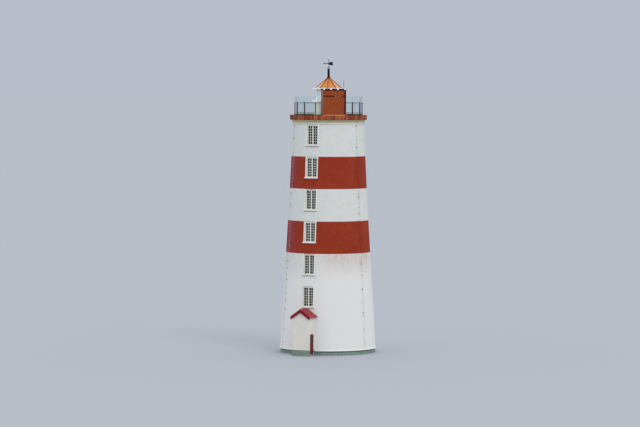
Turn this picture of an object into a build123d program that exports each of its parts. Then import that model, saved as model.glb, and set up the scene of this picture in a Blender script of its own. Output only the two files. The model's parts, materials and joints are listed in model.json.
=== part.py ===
# A round masonry lighthouse of seven storeys, painted in red and white bands, with its
# gallery, lantern, weather vane, gallery cabin and the small gabled porch at its foot.
# Lengths are in millimetres. The origin is at ground level on the tower's axis, +Z is up,
# and the porch, the doorway and the front window column face -Y.
# An azimuth is in degrees: 0 faces -Y, 90 faces +X, 180 faces +Y.

from build123d import *
from math import atan, cos, degrees, radians, sin, sqrt, tan
import os

# Clearances
seat_gap = 0.5
wall_joint = 1
floor_edge_gap = 5

# Tower wall
plinth_height = 400
plinth_inset = 70
storey_height = 3040
storey_count = 7
foot_radius = 4550
head_flare = 105
flare_height = 10640
head_wall_thickness = 631
ledge_width = 50
floor_thickness = 200
ground_floor_thickness = 60
drip_reach = 55
drip_face = 40
drip_rise = 170

# Wall joints, as azimuths
bay_angle = 45
room_corner_angle = 45
side_blocks = 3

# Windows
window_opening_width = 1300
window_sill_rise = 980
surround_width = 105
surround_depth = 330
surround_proud = 30
sill_height = 100
sill_weathering = 20
sill_overhang = 45
sill_proud = 110
frame_side = 65
frame_head = 170
frame_foot = 70
frame_depth = 90
frame_setback = 120
meeting_stile = 100
pane_thickness = 6

# Cornice and gallery
cornice_height = 430
cornice_band_height = 150
cornice_band_reach = 40
cornice_setback = 14
cove_height = 240
deck_thickness = 410
deck_radius = 3600
deck_overhang = 219
fascia_thickness = 45
fascia_drop = 20
kerb_width = 90
kerb_height = 70
rail_inset = 395
rail_post_count = 16
rail_post_azimuth = 26.6
rail_post_size = 60
rail_post_height = 1200
top_rail_size = 44
lower_rail_size = 36
lower_rail_rise = 215
stanchion_radius = 11
stanchion_height = 540
wire_rail_size = 12
post_foot_size = 84
post_foot_height = 14

# Gallery cabin
cabin_azimuth = 36.6
cabin_inset = 250
cabin_width = 2160
cabin_depth = 1300
cabin_height = 2510
cabin_wall = 60
cabin_roof_thickness = 90
cabin_roof_reach = 30
cabin_foot_height = 60
cabin_foot_reach = 40
cabin_seam_rise = 1790
cabin_seam_height = 45
cabin_seam_reach = 22
cabin_rod_radius = 18
cabin_rod_height = 800
cabin_rod_side = 930
cabin_rod_back = 950

# Lantern
lantern_sides = 10
lantern_azimuth = 22.6
lantern_wall_radius = 1370
lantern_wall_height = 1250
lantern_wall_thickness = 60
lantern_post_radius = 46
lantern_sill_radius = 1640
lantern_sill_height = 180
lantern_glass_radius = 1220
lantern_glass_height = 1020
lantern_mullion_radius = 38
lantern_glass_thickness = 12
lantern_eave_radius = 1540
lantern_eave_height = 100
lantern_roof_radius = 1270
lantern_roof_height = 1040
roof_shell = 60
rib_width = 60
rib_height = 45
vent_radius = 112
vent_height = 790
vent_foot_depth = 160
vent_collar_radius = 170
vent_collar_height = 70
vent_cap_radius = 165
vent_cap_height = 70
vent_cap_rise = 80
vent_leg_radius = 12
vent_legs = 4

# Weather vane
spindle_radius = 16
spindle_height = 640
vane_rise = 280
vane_sleeve_radius = 44
vane_sleeve_height = 120
vane_bore_gap = 1
vane_collar_radius = 30
vane_collar_height = 24
vane_point_reach = 550
vane_tail_reach = 450
vane_plate = 18
vane_rod_radius = 32
vane_tail_height = 300
vane_tail_length = 430
vane_tail_notch = 75
vane_head_height = 140
vane_head_length = 180
vane_azimuth = 296.6
finial_radius = 48

# Lightning conductors
conductor_azimuths = (-43.4, 76.6, 196.6)
conductor_radius = 9
conductor_standoff = 75
conductor_bend = 40
clip_spacing = 1280
clip_width = 44
clip_height = 34

# Tower doorway
doorway_width = 1000
doorway_height = 2100

# Porch
porch_width = 1690
porch_reach = 1180
porch_wall = 140
porch_plinth_height = 560
porch_plinth_proud = 30
porch_floor_height = 150
porch_eave_height = 3690
porch_pitch = 35
porch_roof_thickness = 90
porch_side_overhang = 160
porch_verge_overhang = 90
bargeboard_height = 240
bargeboard_thickness = 40
ridge_cap_width = 150
ridge_cap_thickness = 26
porch_door_width = 720
porch_door_height = 1880
porch_door_side = 110
door_frame_member = 50
door_frame_depth = 100
door_gap = 9
door_thickness = 46
door_stile = 95
door_lock_rail_height = 150
door_lock_rail_rise = 800
door_bottom_rail = 200
door_panel_thickness = 20
door_handle_rise = 900
handle_plate_width = 44
handle_plate_height = 180
handle_plate_thickness = 5
handle_neck_radius = 12
handle_reach = 52
handle_length = 120
handle_radius = 9
hinge_pin_radius = 8
hinge_standoff = 16
hinge_bore_gap = 1
hinge_eye_radius = 15
hinge_eye_height = 50
hinge_strap_length = 300
hinge_strap_height = 44
hinge_strap_thickness = 6
hinge_lug_height = 16
hinge_lug_length = 45
hinge_lug_radius = 10
hinge_end_rise = 260

# Derived levels and radii
head_radius = deck_radius - deck_overhang
room_radius = head_radius - head_wall_thickness - ledge_width * (storey_count - 1)
rail_radius = deck_radius - rail_inset
cabin_front = deck_radius - cabin_inset
wall_head = plinth_height + storey_count * storey_height
deck_bottom = wall_head + cornice_height
deck_top = deck_bottom + deck_thickness
kerb_top = deck_top + kerb_height
lantern_sill_bottom = deck_top + lantern_wall_height
lantern_glass_bottom = lantern_sill_bottom + lantern_sill_height
lantern_eave_bottom = lantern_glass_bottom + lantern_glass_height
lantern_eave_top = lantern_eave_bottom + lantern_eave_height
lantern_apex = lantern_eave_top + lantern_roof_height
door_side_x = porch_width / 2


def batter_radius(height):
    """Radius of the tower's batter, a straight taper that eases outwards under the gallery."""
    fall = (foot_radius - head_radius + head_flare) / (wall_head - plinth_height)
    rise = max(0, 1 - (wall_head - height) / flare_height)
    return foot_radius - fall * (height - plinth_height) + head_flare * rise ** 2


def wall_radius(height):
    """Radius of the tower's outer face, which is straight from each colour line to the next."""
    storey = min(max(int((height - plinth_height) / storey_height), 0), storey_count - 1)
    low = batter_radius(storey_base(storey))
    high = batter_radius(storey_base(storey + 1))
    return low + (high - low) * (height - storey_base(storey)) / storey_height


def inner_radius(storey):
    """Radius of the room on a storey: the wall steps back at each floor."""
    return room_radius + ledge_width * storey


def storey_base(storey):
    """Height of a storey's colour line."""
    return plinth_height + storey_height * storey


def turned(azimuth):
    """Turns what is drawn facing -Y so that it faces an azimuth."""
    return Rot(0, 0, azimuth)


def box(x_range, y_range, z_range):
    """Box between two values along each axis."""
    size = [high - low for low, high in (x_range, y_range, z_range)]
    centre = [(high + low) / 2 for low, high in (x_range, y_range, z_range)]
    return Pos(*centre) * Box(*size)


def half_section(outline):
    """Face in the XZ plane from points given as radius and height."""
    return make_face(Polyline(*[(radius, 0, height) for radius, height in outline], close=True))


def ring_block(section, start, end):
    """Sweeps a half section about the tower's axis from one azimuth to another."""
    return revolve(turned(start - 90) * section, Axis.Z, revolution_arc=end - start)


def upright(radius, height, base=0):
    """Round bar or disc standing on a height."""
    return Pos(0, 0, base + height / 2) * Cylinder(radius, height)


def prism(outline, height, base=0):
    """Upright prism on a flat outline of x and y points."""
    face = make_face(Polyline(*[(x, y, base) for x, y in outline], close=True))
    return extrude(face, height, dir=(0, 0, 1))


def polygon_points(radius, sides, azimuth):
    """Corners of a regular polygon about the axis, the first at an azimuth."""
    turns = [radians(azimuth + 360 / sides * index) for index in range(sides)]
    return [(radius * sin(turn), -radius * cos(turn)) for turn in turns]


def write(name, *solids):
    """Writes one node from its solids."""
    shape = Compound(children=list(solids)) if len(solids) > 1 else solids[0]
    export_step(shape, f"parts/{name}.step")


def block_bounds():
    """Azimuths of the wall joints, from the front bay's left side round to the start."""
    half_bay = bay_angle / 2
    side_angle = (180 - 2 * room_corner_angle) / side_blocks
    quarter = [room_corner_angle + side_angle * index for index in range(side_blocks + 1)]
    right = [half_bay] + quarter + [180 - half_bay]
    left = [180 + half_bay] + [180 + azimuth for azimuth in quarter] + [360 - half_bay]
    return [-half_bay] + right + left


def ring_blocks(section):
    """The blocks of one ring of wall, in order from the front bay, a mortar joint apart."""
    half_joint = degrees(wall_joint / room_radius) / 2
    bounds = block_bounds()
    return [
        ring_block(section, start + half_joint, end - half_joint)
        for start, end in zip(bounds, bounds[1:])
    ]


# Tower
def wall_section(storey):
    """Half section of one storey's wall: it steps back from the one below, which leaves a ledge."""
    base = storey_base(storey)
    top = storey_base(storey + 1)
    if storey == 0:
        return half_section([
            (inner_radius(0), base),
            (wall_radius(base) + drip_reach, base),
            (wall_radius(base) + drip_reach, base + drip_face),
            (wall_radius(base + drip_rise), base + drip_rise),
            (wall_radius(top), top),
            (inner_radius(0), top),
        ])
    return half_section([
        (inner_radius(storey), base),
        (wall_radius(base), base),
        (wall_radius(top), top),
        (inner_radius(storey), top),
    ])


def window_bottom(storey):
    """Height of the foot of a storey's window opening."""
    return storey_base(storey) + window_sill_rise


def window_hole(storey, azimuth):
    """Space that a window and its surround take out of the wall, up to the colour line."""
    half = window_opening_width / 2
    bottom = window_bottom(storey)
    reach = wall_radius(bottom) * 2
    hole = box((-half, half), (-reach, 0), (bottom, storey_base(storey + 1)))
    return turned(azimuth) * hole


def doorway_hole():
    """Passage through the ground storey's wall, from the porch to the ground room."""
    half = doorway_width / 2
    return box((-half, half), (-2 * foot_radius, 0), (plinth_height, plinth_height + doorway_height))


def ground_walls():
    """Ground storey, split beside and over the doorway."""
    front, *others = ring_blocks(wall_section(0))
    half = doorway_width / 2
    passage = box((-half, half), (-2 * foot_radius, 0), (storey_base(0), storey_base(1)))
    over_door = front & passage
    over_door -= doorway_hole()
    write("ground_wall_beside_door", *(front - passage).solids())
    write("ground_wall_over_door", over_door)
    write("ground_wall", *others)


def storey_walls(storey):
    """An upper storey: its two window bays, and the blocks between them."""
    blocks = ring_blocks(wall_section(storey))
    back = len(blocks) // 2
    blocks[0] -= window_hole(storey, 0)
    blocks[back] -= window_hole(storey, 180)
    write(f"storey_{storey}_wall", *blocks)


def floors():
    """Plinth, and the timber floors: one on the plinth, the others on their ledges."""
    write("foundation_plinth", upright(foot_radius - plinth_inset, plinth_height))
    discs = [upright(inner_radius(0) - floor_edge_gap, ground_floor_thickness, plinth_height)]
    for storey in range(1, storey_count):
        radius = inner_radius(storey) - floor_edge_gap
        discs.append(upright(radius, floor_thickness, storey_base(storey)))
    write("floors", *discs)


# Windows
def window_places():
    """Storey and azimuth of each window: one column in front and one behind."""
    return [(storey, azimuth) for azimuth in (0, 180) for storey in range(1, storey_count)]


def frame_front(storey):
    """Distance from the axis to the outer face of a window frame."""
    return wall_radius(storey_base(storey + 1)) - frame_setback


def surround(storey):
    """Two raised jambs and the course under the sill, following the tower's batter."""
    half = window_opening_width / 2
    bottom = window_bottom(storey)
    top = storey_base(storey + 1)
    front = wall_radius(bottom) + surround_proud
    back = front - surround_depth
    slab = box((-half, half), (-front - 1, -back), (bottom, top))
    inner = half - surround_width
    light = box((-inner, inner), (-front - 1, -back), (bottom + sill_height, top))
    face = half_section([
        (0, bottom),
        (wall_radius(bottom) + surround_proud, bottom),
        (wall_radius(top) + surround_proud, top),
        (0, top),
    ])
    return (slab - light) & ring_block(face, -bay_angle, bay_angle)


def sill(storey):
    """Projecting sill with a weathered top, cut to the curve of the masonry behind it."""
    inner = window_opening_width / 2 - surround_width
    half = window_opening_width / 2 + sill_overhang
    bottom = window_bottom(storey) + sill_height
    foot = bottom - sill_height * 2 / 3
    top = bottom + sill_weathering
    front = wall_radius(bottom) + sill_proud
    back = frame_front(storey) - frame_depth
    outline = [(-front, foot), (-back, foot), (-back, top), (-front, top - sill_weathering / 2)]
    section = make_face(Polyline(*[(-half, y, z) for y, z in outline], close=True))
    slab = extrude(section, 2 * half, dir=(1, 0, 0))
    reach = surround_proud + seat_gap
    face = half_section([
        (0, foot - 1),
        (wall_radius(foot - 1) + reach, foot - 1),
        (wall_radius(top + 1) + reach, top + 1),
        (0, top + 1),
    ])
    masonry = ring_block(face, -bay_angle, bay_angle)
    return slab - (masonry - box((-inner, inner), (-front, 0), (bottom, top + 1)))


def window_frame(storey):
    """Timber frame with its two casements and the wide stile where they meet."""
    half = window_opening_width / 2 - surround_width
    bottom = window_bottom(storey) + sill_height + sill_weathering
    top = storey_base(storey + 1)
    front = frame_front(storey)
    depth = (-front, frame_depth - front)
    body = box((-half, half), depth, (bottom, top))
    for side in (-1, 1):
        low, high = sorted((side * meeting_stile / 2, side * (half - frame_side)))
        body -= box((low, high), depth, (bottom + frame_foot, top - frame_head))
    return body


def panes(storey):
    """One sheet of glass in each casement."""
    half = window_opening_width / 2 - surround_width - frame_side - seat_gap
    bottom = window_bottom(storey) + sill_height + sill_weathering + frame_foot + seat_gap
    top = storey_base(storey + 1) - frame_head - seat_gap
    middle = frame_front(storey) - frame_depth / 2
    depth = (-middle - pane_thickness / 2, -middle + pane_thickness / 2)
    sheets = []
    for side in (-1, 1):
        low, high = sorted((side * (meeting_stile / 2 + seat_gap), side * half))
        sheets.append(box((low, high), depth, (bottom, top)))
    return sheets


def windows():
    """All windows, each piece in a node with its like."""
    places = window_places()
    write("window_surrounds", *[turned(azimuth) * surround(storey) for storey, azimuth in places])
    write("window_sills", *[turned(azimuth) * sill(storey) for storey, azimuth in places])
    write("window_frames", *[turned(azimuth) * window_frame(storey) for storey, azimuth in places])
    glass = [turned(azimuth) * sheet for storey, azimuth in places for sheet in panes(storey)]
    write("window_glass", *glass)


# Gallery
def cornice():
    """Moulded cornice: a flat band, a tall cove and a narrow fillet, in the wall's blocks."""
    inner = inner_radius(storey_count - 1)
    band = head_radius + cornice_band_reach
    band_top = wall_head + cornice_band_height
    cove_top = band_top + cove_height
    outer = deck_radius - cornice_setback
    half_turn = radians(45)
    cove = ThreePointArc(
        (band, 0, band_top),
        (outer - (outer - band) * cos(half_turn), 0, band_top + cove_height * sin(half_turn)),
        (outer, 0, cove_top),
    )
    edges = Polyline(
        (outer, 0, cove_top),
        (outer, 0, deck_bottom),
        (inner, 0, deck_bottom),
        (inner, 0, wall_head),
        (band, 0, wall_head),
        (band, 0, band_top),
    )
    write("cornice", *ring_blocks(make_face([cove] + list(edges.edges()))))


def gallery_deck():
    """Deck slab, the fascia round its edge, and the kerb that carries the railing up to the cabin."""
    write("gallery_deck", upright(deck_radius, deck_thickness, deck_bottom))
    inner = deck_radius + seat_gap
    fascia = half_section([
        (inner, deck_bottom - fascia_drop),
        (inner + fascia_thickness, deck_bottom - fascia_drop),
        (inner + fascia_thickness, deck_top),
        (inner, deck_top),
    ])
    write("gallery_fascia", revolve(fascia, Axis.Z))
    near = rail_radius - kerb_width / 2
    far = rail_radius + kerb_width / 2
    kerb = half_section([(near, deck_top), (far, deck_top), (far, kerb_top), (near, kerb_top)])
    write("gallery_kerb", revolve(kerb, Axis.Z) - cabin_space(seat_gap))


def cabin_clear(azimuth):
    """Whether a rail bay end at an azimuth stands clear of the cabin."""
    turn = radians(azimuth - cabin_azimuth)
    across = rail_radius * sin(turn)
    forward = rail_radius * cos(turn)
    return forward < 0 or abs(across) > cabin_width / 2 + rail_post_size


def cabin_space(grown):
    """Space that the cabin takes on the gallery, grown by a clearance."""
    half = cabin_width / 2 + grown
    near = cabin_front - cabin_depth - grown
    return cabin_panel((-half, half), (near, cabin_front + grown), (deck_top, deck_top + cabin_height))


def post_shaft(azimuth, grown=0):
    """Shaft of a railing post, grown on each side by a clearance."""
    half = rail_post_size / 2 + grown
    shaft = box((-half, half), (-rail_radius - half, -rail_radius + half),
                (kerb_top, deck_top + rail_post_height + grown))
    return turned(azimuth) * shaft


def stanchion(azimuth, grown=0):
    """Thin rod on top of a railing post, grown on each side by a clearance."""
    rod = upright(stanchion_radius + grown, stanchion_height + grown, deck_top + rail_post_height)
    return turned(azimuth) * Pos(0, -rail_radius, 0) * rod


def rail_bars(rise, size, carrier):
    """A rail in bays, each end butting the post or rod that carries it, or the cabin's wall."""
    step = 360 / rail_post_count
    reach = rail_radius * cos(radians(step / 2))
    length = 2 * rail_radius * sin(radians(step / 2))
    bars = []
    for index in range(rail_post_count):
        azimuth = rail_post_azimuth + step * index
        ends = [end for end in (azimuth, azimuth + step) if cabin_clear(end)]
        bar = Pos(0, -reach, deck_top + rise) * Rot(0, 90, 0) * Cylinder(size / 2, length)
        bar = turned(azimuth + step / 2) * bar
        for end in ends:
            bar -= carrier(end, seat_gap)
        if ends:
            bars.append(bar - cabin_space(seat_gap))
    return bars


def railing():
    """Posts on the kerb, two rails and a wire rail on thin rods, up to the cabin on both sides."""
    foot = post_foot_size / 2
    posts = []
    for index in range(rail_post_count):
        azimuth = rail_post_azimuth + 360 / rail_post_count * index
        if cabin_clear(azimuth):
            plate = box((-foot, foot), (-rail_radius - foot, -rail_radius + foot),
                        (kerb_top, kerb_top + post_foot_height))
            posts.append(post_shaft(azimuth) + stanchion(azimuth) + turned(azimuth) * plate)
    write("gallery_posts", *posts)
    wire_rise = rail_post_height + stanchion_height - wire_rail_size
    write("gallery_rails",
          *rail_bars(rail_post_height - top_rail_size, top_rail_size, post_shaft),
          *rail_bars(lower_rail_rise, lower_rail_size, post_shaft),
          *rail_bars(wire_rise, wire_rail_size, stanchion))


# Gallery cabin
def cabin_panel(x_range, depth_range, z_range):
    """Panel of the cabin, by its place across, its distance from the axis and its height."""
    near, far = depth_range
    return turned(cabin_azimuth) * box(x_range, (-far, -near), z_range)


def cabin():
    """Cabin on the gallery: four walls, roof, foot flashing, seam strip and a thin rod."""
    half = cabin_width / 2
    back = cabin_front - cabin_depth
    eave = deck_top + cabin_height - cabin_roof_thickness
    levels = (deck_top, eave)
    inside = half - cabin_wall
    write("cabin_end_walls",
          cabin_panel((-half, half), (cabin_front - cabin_wall, cabin_front), levels),
          cabin_panel((-half, half), (back, back + cabin_wall), levels))
    depth = (back + cabin_wall, cabin_front - cabin_wall)
    write("cabin_side_walls",
          cabin_panel((-half, -inside), depth, levels),
          cabin_panel((inside, half), depth, levels))
    edge = half + cabin_roof_reach
    top = deck_top + cabin_height
    write("cabin_roof", cabin_panel((-edge, edge), (back - cabin_roof_reach, cabin_front + cabin_roof_reach),
                                    (eave, top)))
    foot = (deck_top, deck_top + cabin_foot_height)
    seam = (deck_top + cabin_seam_rise, deck_top + cabin_seam_rise + cabin_seam_height)
    write("cabin_trim", cabin_panel((-half, half), (cabin_front, cabin_front + cabin_foot_reach), foot))
    write("cabin_seam", cabin_panel((-half, half), (cabin_front, cabin_front + cabin_seam_reach), seam))
    rod = Pos(cabin_rod_side, -(back + cabin_rod_back), 0) * upright(cabin_rod_radius, cabin_rod_height, top)
    write("cabin_roof_rod", turned(cabin_azimuth) * rod)


# Lantern
def lantern_panels(radius, inset, thickness, base, height):
    """Flat panels between the lantern's corners, each short of the corners by an inset."""
    step = 360 / lantern_sides
    face = radius * cos(radians(step / 2))
    half = radius * sin(radians(step / 2)) - inset
    panel = box((-half, half), (-face, thickness - face), (base, base + height))
    return [turned(lantern_azimuth + step * (index + 0.5)) * panel for index in range(lantern_sides)]


def lantern_corners(radius, bar_radius, base, height):
    """Round bars at the lantern's corners."""
    bar = upright(bar_radius, height, base)
    return [Pos(x, y, 0) * bar for x, y in polygon_points(radius, lantern_sides, lantern_azimuth)]


def lantern_body():
    """Lower wall, sill, mullions and glass."""
    inset = lantern_post_radius + seat_gap
    wall_base = deck_top
    wall_height = lantern_wall_height
    centre = lantern_wall_radius - lantern_post_radius
    write("lantern_wall_panels",
          *lantern_panels(centre, inset, lantern_wall_thickness, wall_base, wall_height))
    write("lantern_corner_posts",
          *lantern_corners(centre, lantern_post_radius, wall_base, wall_height))
    outline = polygon_points(lantern_sill_radius, lantern_sides, lantern_azimuth)
    throat = polygon_points(lantern_glass_radius - 2 * lantern_mullion_radius - lantern_wall_thickness,
                            lantern_sides, lantern_azimuth)
    sill_ring = prism(outline, lantern_sill_height, lantern_sill_bottom)
    sill_ring -= prism(throat, lantern_sill_height, lantern_sill_bottom)
    write("lantern_sill", sill_ring)
    corner = lantern_glass_radius - lantern_mullion_radius
    write("lantern_mullions",
          *lantern_corners(corner, lantern_mullion_radius, lantern_glass_bottom, lantern_glass_height))
    write("lantern_glass",
          *lantern_panels(corner, lantern_mullion_radius + seat_gap, lantern_glass_thickness,
                          lantern_glass_bottom, lantern_glass_height))


def pyramid(radius, base, height):
    """Pyramid with the lantern's number of sides."""
    outline = polygon_points(radius, lantern_sides, lantern_azimuth)
    floor = make_face(Polyline(*[(x, y, base) for x, y in outline], close=True))
    return loft([floor, Vertex(0, 0, base + height)], ruled=True)


def roof_ribs(stack_space):
    """Ribs that cover the roof's hips, from the eave up to the vent stack and its collar."""
    length = sqrt(lantern_roof_radius ** 2 + lantern_roof_height ** 2)
    pitch = degrees(atan(lantern_roof_height / lantern_roof_radius))
    sheet = pyramid(lantern_roof_radius, lantern_eave_top + seat_gap, lantern_roof_height)
    level = lantern_eave_top + seat_gap
    under = upright(2 * lantern_roof_radius, lantern_roof_height, level - lantern_roof_height)
    bar = Box(rib_width, length, 2 * rib_height)
    rib = Pos(0, -lantern_roof_radius, lantern_eave_top) * Rot(pitch, 0, 0) * Pos(0, length / 2, 0) * bar
    ribs = []
    for index in range(lantern_sides):
        azimuth = lantern_azimuth + 360 / lantern_sides * index
        ribs.append(turned(azimuth) * rib - sheet - under - stack_space)
    return ribs


def vent():
    """Vent stack with its collar on the roof, and the cap that stands on four legs."""
    foot = lantern_apex - vent_foot_depth
    head = lantern_apex + vent_height
    cap_base = head + vent_cap_rise
    stack = upright(vent_radius, head - foot, foot)
    stack += upright(vent_collar_radius, vent_collar_height, lantern_apex - vent_collar_height)
    for index in range(vent_legs):
        leg = upright(vent_leg_radius, vent_cap_rise, head)
        stack += turned(360 / vent_legs * index) * Pos(0, 2 * vent_leg_radius - vent_radius, 0) * leg
    cap = Cone(vent_cap_radius, 2 * spindle_radius, vent_cap_height)
    return stack + Pos(0, 0, cap_base + vent_cap_height / 2) * cap


def lantern_roof():
    """Eave slab, sheet roof, hip ribs and vent stack; returns the height of the vent cap's top."""
    outline = polygon_points(lantern_eave_radius, lantern_sides, lantern_azimuth)
    write("lantern_eave", prism(outline, lantern_eave_height, lantern_eave_bottom))
    pitch = lantern_roof_height / lantern_roof_radius
    hollow_radius = lantern_roof_radius - 2 * roof_shell
    hollow = pyramid(hollow_radius, lantern_eave_top, hollow_radius * pitch)
    collar_base = lantern_apex - vent_collar_height - seat_gap
    stack_space = upright(vent_collar_radius + seat_gap, vent_height, collar_base)
    stack_space += upright(vent_radius + seat_gap, vent_height, lantern_apex - vent_foot_depth - seat_gap)
    sheet = pyramid(lantern_roof_radius, lantern_eave_top, lantern_roof_height)
    write("lantern_roof", sheet - hollow - stack_space)
    write("lantern_roof_ribs", *roof_ribs(stack_space))
    write("vent_stack", vent())
    return lantern_apex + vent_height + vent_cap_rise + vent_cap_height


def arrow_outline(level):
    """Points of the arrow's head and of its notched tail, in the plane of the vane."""
    half_head = vane_head_height / 2
    half_tail = vane_tail_height / 2
    neck = vane_head_length - vane_point_reach
    head = [(-vane_point_reach, level), (neck, level - half_head), (neck, level + half_head)]
    tail_start = vane_tail_reach - vane_tail_length
    tail = [
        (tail_start, level),
        (tail_start + vane_tail_notch, level + half_tail),
        (vane_tail_reach, level + half_tail),
        (vane_tail_reach - vane_tail_notch, level),
        (vane_tail_reach, level - half_tail),
        (tail_start + vane_tail_notch, level - half_tail),
    ]
    return head, tail


def weather_vane(cap_top):
    """Fixed spindle with its collar and finial, and the arrow that turns on it."""
    sleeve_base = cap_top + vane_rise
    spindle = upright(spindle_radius, spindle_height, cap_top)
    collar = upright(vane_collar_radius, vane_collar_height, sleeve_base - seat_gap - vane_collar_height)
    ball = Pos(0, 0, cap_top + spindle_height) * Sphere(finial_radius)
    write("vane_spindle", spindle + collar + ball)
    bore = upright(spindle_radius + vane_bore_gap, vane_sleeve_height, sleeve_base)
    sleeve = upright(vane_sleeve_radius, vane_sleeve_height, sleeve_base)
    level = sleeve_base + vane_sleeve_height / 2
    near = vane_head_length / 2 - vane_point_reach
    far = vane_tail_reach - vane_tail_notch - vane_rod_radius
    rod = Pos((far + near) / 2, 0, level) * Rot(0, 90, 0) * Cylinder(vane_rod_radius, far - near)
    arrow = sleeve + rod
    for outline in arrow_outline(level):
        face = make_face(Polyline(*[(x, -vane_plate / 2, z) for x, z in outline], close=True))
        arrow += extrude(face, vane_plate, dir=(0, 1, 0))
    write("vane_arrow", turned(vane_azimuth + 90) * (arrow - bore))


# Lightning conductors
def conductor_route():
    """Radius and height of a conductor's corners, from the ground, round the fascia and down to the deck."""
    foot = wall_radius(0) + conductor_standoff
    under = wall_head - conductor_standoff
    outer = max(deck_radius + fascia_thickness, head_radius + cornice_band_reach) + conductor_standoff
    inner = deck_radius - 2 * conductor_bend
    top = deck_top + conductor_standoff
    return [
        (foot, 2 * conductor_radius),
        (wall_radius(under) + conductor_standoff, under),
        (outer, deck_bottom - conductor_standoff),
        (outer, top),
        (inner, top),
        (inner, deck_top + seat_gap),
    ]


def conductors():
    """Taut cables down the wall, each held off it by small brackets."""
    route = conductor_route()
    points = [(0, -radius, height) for radius, height in route]
    path = FilletPolyline(*points, radius=conductor_bend)
    section = Plane(origin=points[0], z_dir=path % 0) * Circle(conductor_radius)
    cable = sweep(section, path)
    write("lightning_conductors", *[turned(azimuth) * cable for azimuth in conductor_azimuths])
    count = int((wall_head - storey_base(0)) / clip_spacing)
    (low_radius, low), (high_radius, high) = route[:2]
    lean = (high_radius - low_radius) / (high - low)
    clips = []
    for azimuth in conductor_azimuths:
        for index in range(count):
            height = plinth_height + clip_spacing * (index + 0.5)
            near = wall_radius(height - clip_height / 2) + seat_gap
            cable_radius = low_radius + lean * (height + clip_height / 2 - low)
            far = cable_radius - conductor_radius - seat_gap
            half = clip_width / 2
            clip = box((-half, half), (-far, -near), (height - clip_height / 2, height + clip_height / 2))
            clips.append(turned(azimuth) * clip)
    write("conductor_clips", *clips)


# Porch
def tower_skin(gap):
    """Solid tower up to the porch's ridge, grown by a gap, to trim what meets it."""
    top = storey_base(2)
    grown = half_section([
        (0, -1),
        (foot_radius + drip_reach + gap, -1),
        (foot_radius + drip_reach + gap, plinth_height + drip_face + gap),
        (wall_radius(plinth_height + drip_rise) + gap, plinth_height + drip_rise + gap),
        (wall_radius(top) + gap, top),
        (0, top),
    ])
    return revolve(grown, Axis.Z)


porch_front = foot_radius + porch_reach
porch_inner_front = porch_front - porch_wall
porch_ridge = porch_eave_height + door_side_x * tan(radians(porch_pitch))
door_low = porch_inner_front - porch_door_side
door_near = door_low - porch_door_width - 2 * door_gap - 2 * door_frame_member


def porch_box(x_range, reach_range, z_range, trim):
    """Box of the porch by its distance in front of the axis, trimmed to the tower."""
    near, far = reach_range
    piece = box(x_range, (-far, -near), z_range)
    return piece - tower_skin(seat_gap) if trim else piece


def porch_base():
    """Floor slab, and the painted plinth courses under the walls."""
    near = wall_radius(0) * cos(radians(bay_angle / 2))
    half = door_side_x
    inner = half - porch_wall
    slab = porch_box((-inner, inner), (near, porch_inner_front), (0, porch_floor_height), True)
    slab += porch_box((inner, half + porch_plinth_proud), (door_near + seat_gap, door_low - seat_gap),
                      (0, porch_floor_height), True)
    write("porch_floor", slab)
    plinth = (0, porch_plinth_height)
    proud = porch_plinth_proud
    write("porch_front_plinth",
          porch_box((-half - proud, half + proud), (porch_inner_front, porch_front + proud), plinth, False))
    left = porch_box((-half - proud, -inner), (near, porch_inner_front), plinth, True)
    right_near = porch_box((inner, half + proud), (near, door_near), plinth, True)
    right_far = porch_box((inner, half + proud), (door_low, porch_inner_front), plinth, False)
    write("porch_side_plinths", left, right_near, right_far)


def porch_walls():
    """Gable wall, plain left wall, and the right wall split beside and over its door."""
    near = wall_radius(porch_ridge) * cos(radians(bay_angle / 2))
    half = door_side_x
    inner = half - porch_wall
    base = porch_plinth_height
    eave = porch_eave_height
    gable = [(-half, base), (half, base), (half, eave), (0, porch_ridge), (-half, eave)]
    face = make_face(Polyline(*[(x, -porch_front, z) for x, z in gable], close=True))
    write("porch_gable_wall", extrude(face, porch_wall, dir=(0, 1, 0)))
    levels = (base, porch_eave_height)
    write("porch_left_wall", porch_box((-half, -inner), (near, porch_inner_front), levels, True))
    head = porch_floor_height + porch_door_height + 2 * door_gap + door_frame_member
    write("porch_wall_beside_door",
          porch_box((inner, half), (near, door_near), (base, head), True),
          porch_box((inner, half), (door_low, porch_inner_front), (base, head), False))
    write("porch_wall_over_door",
          porch_box((inner, half), (near, porch_inner_front), (head, porch_eave_height), True))


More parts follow.
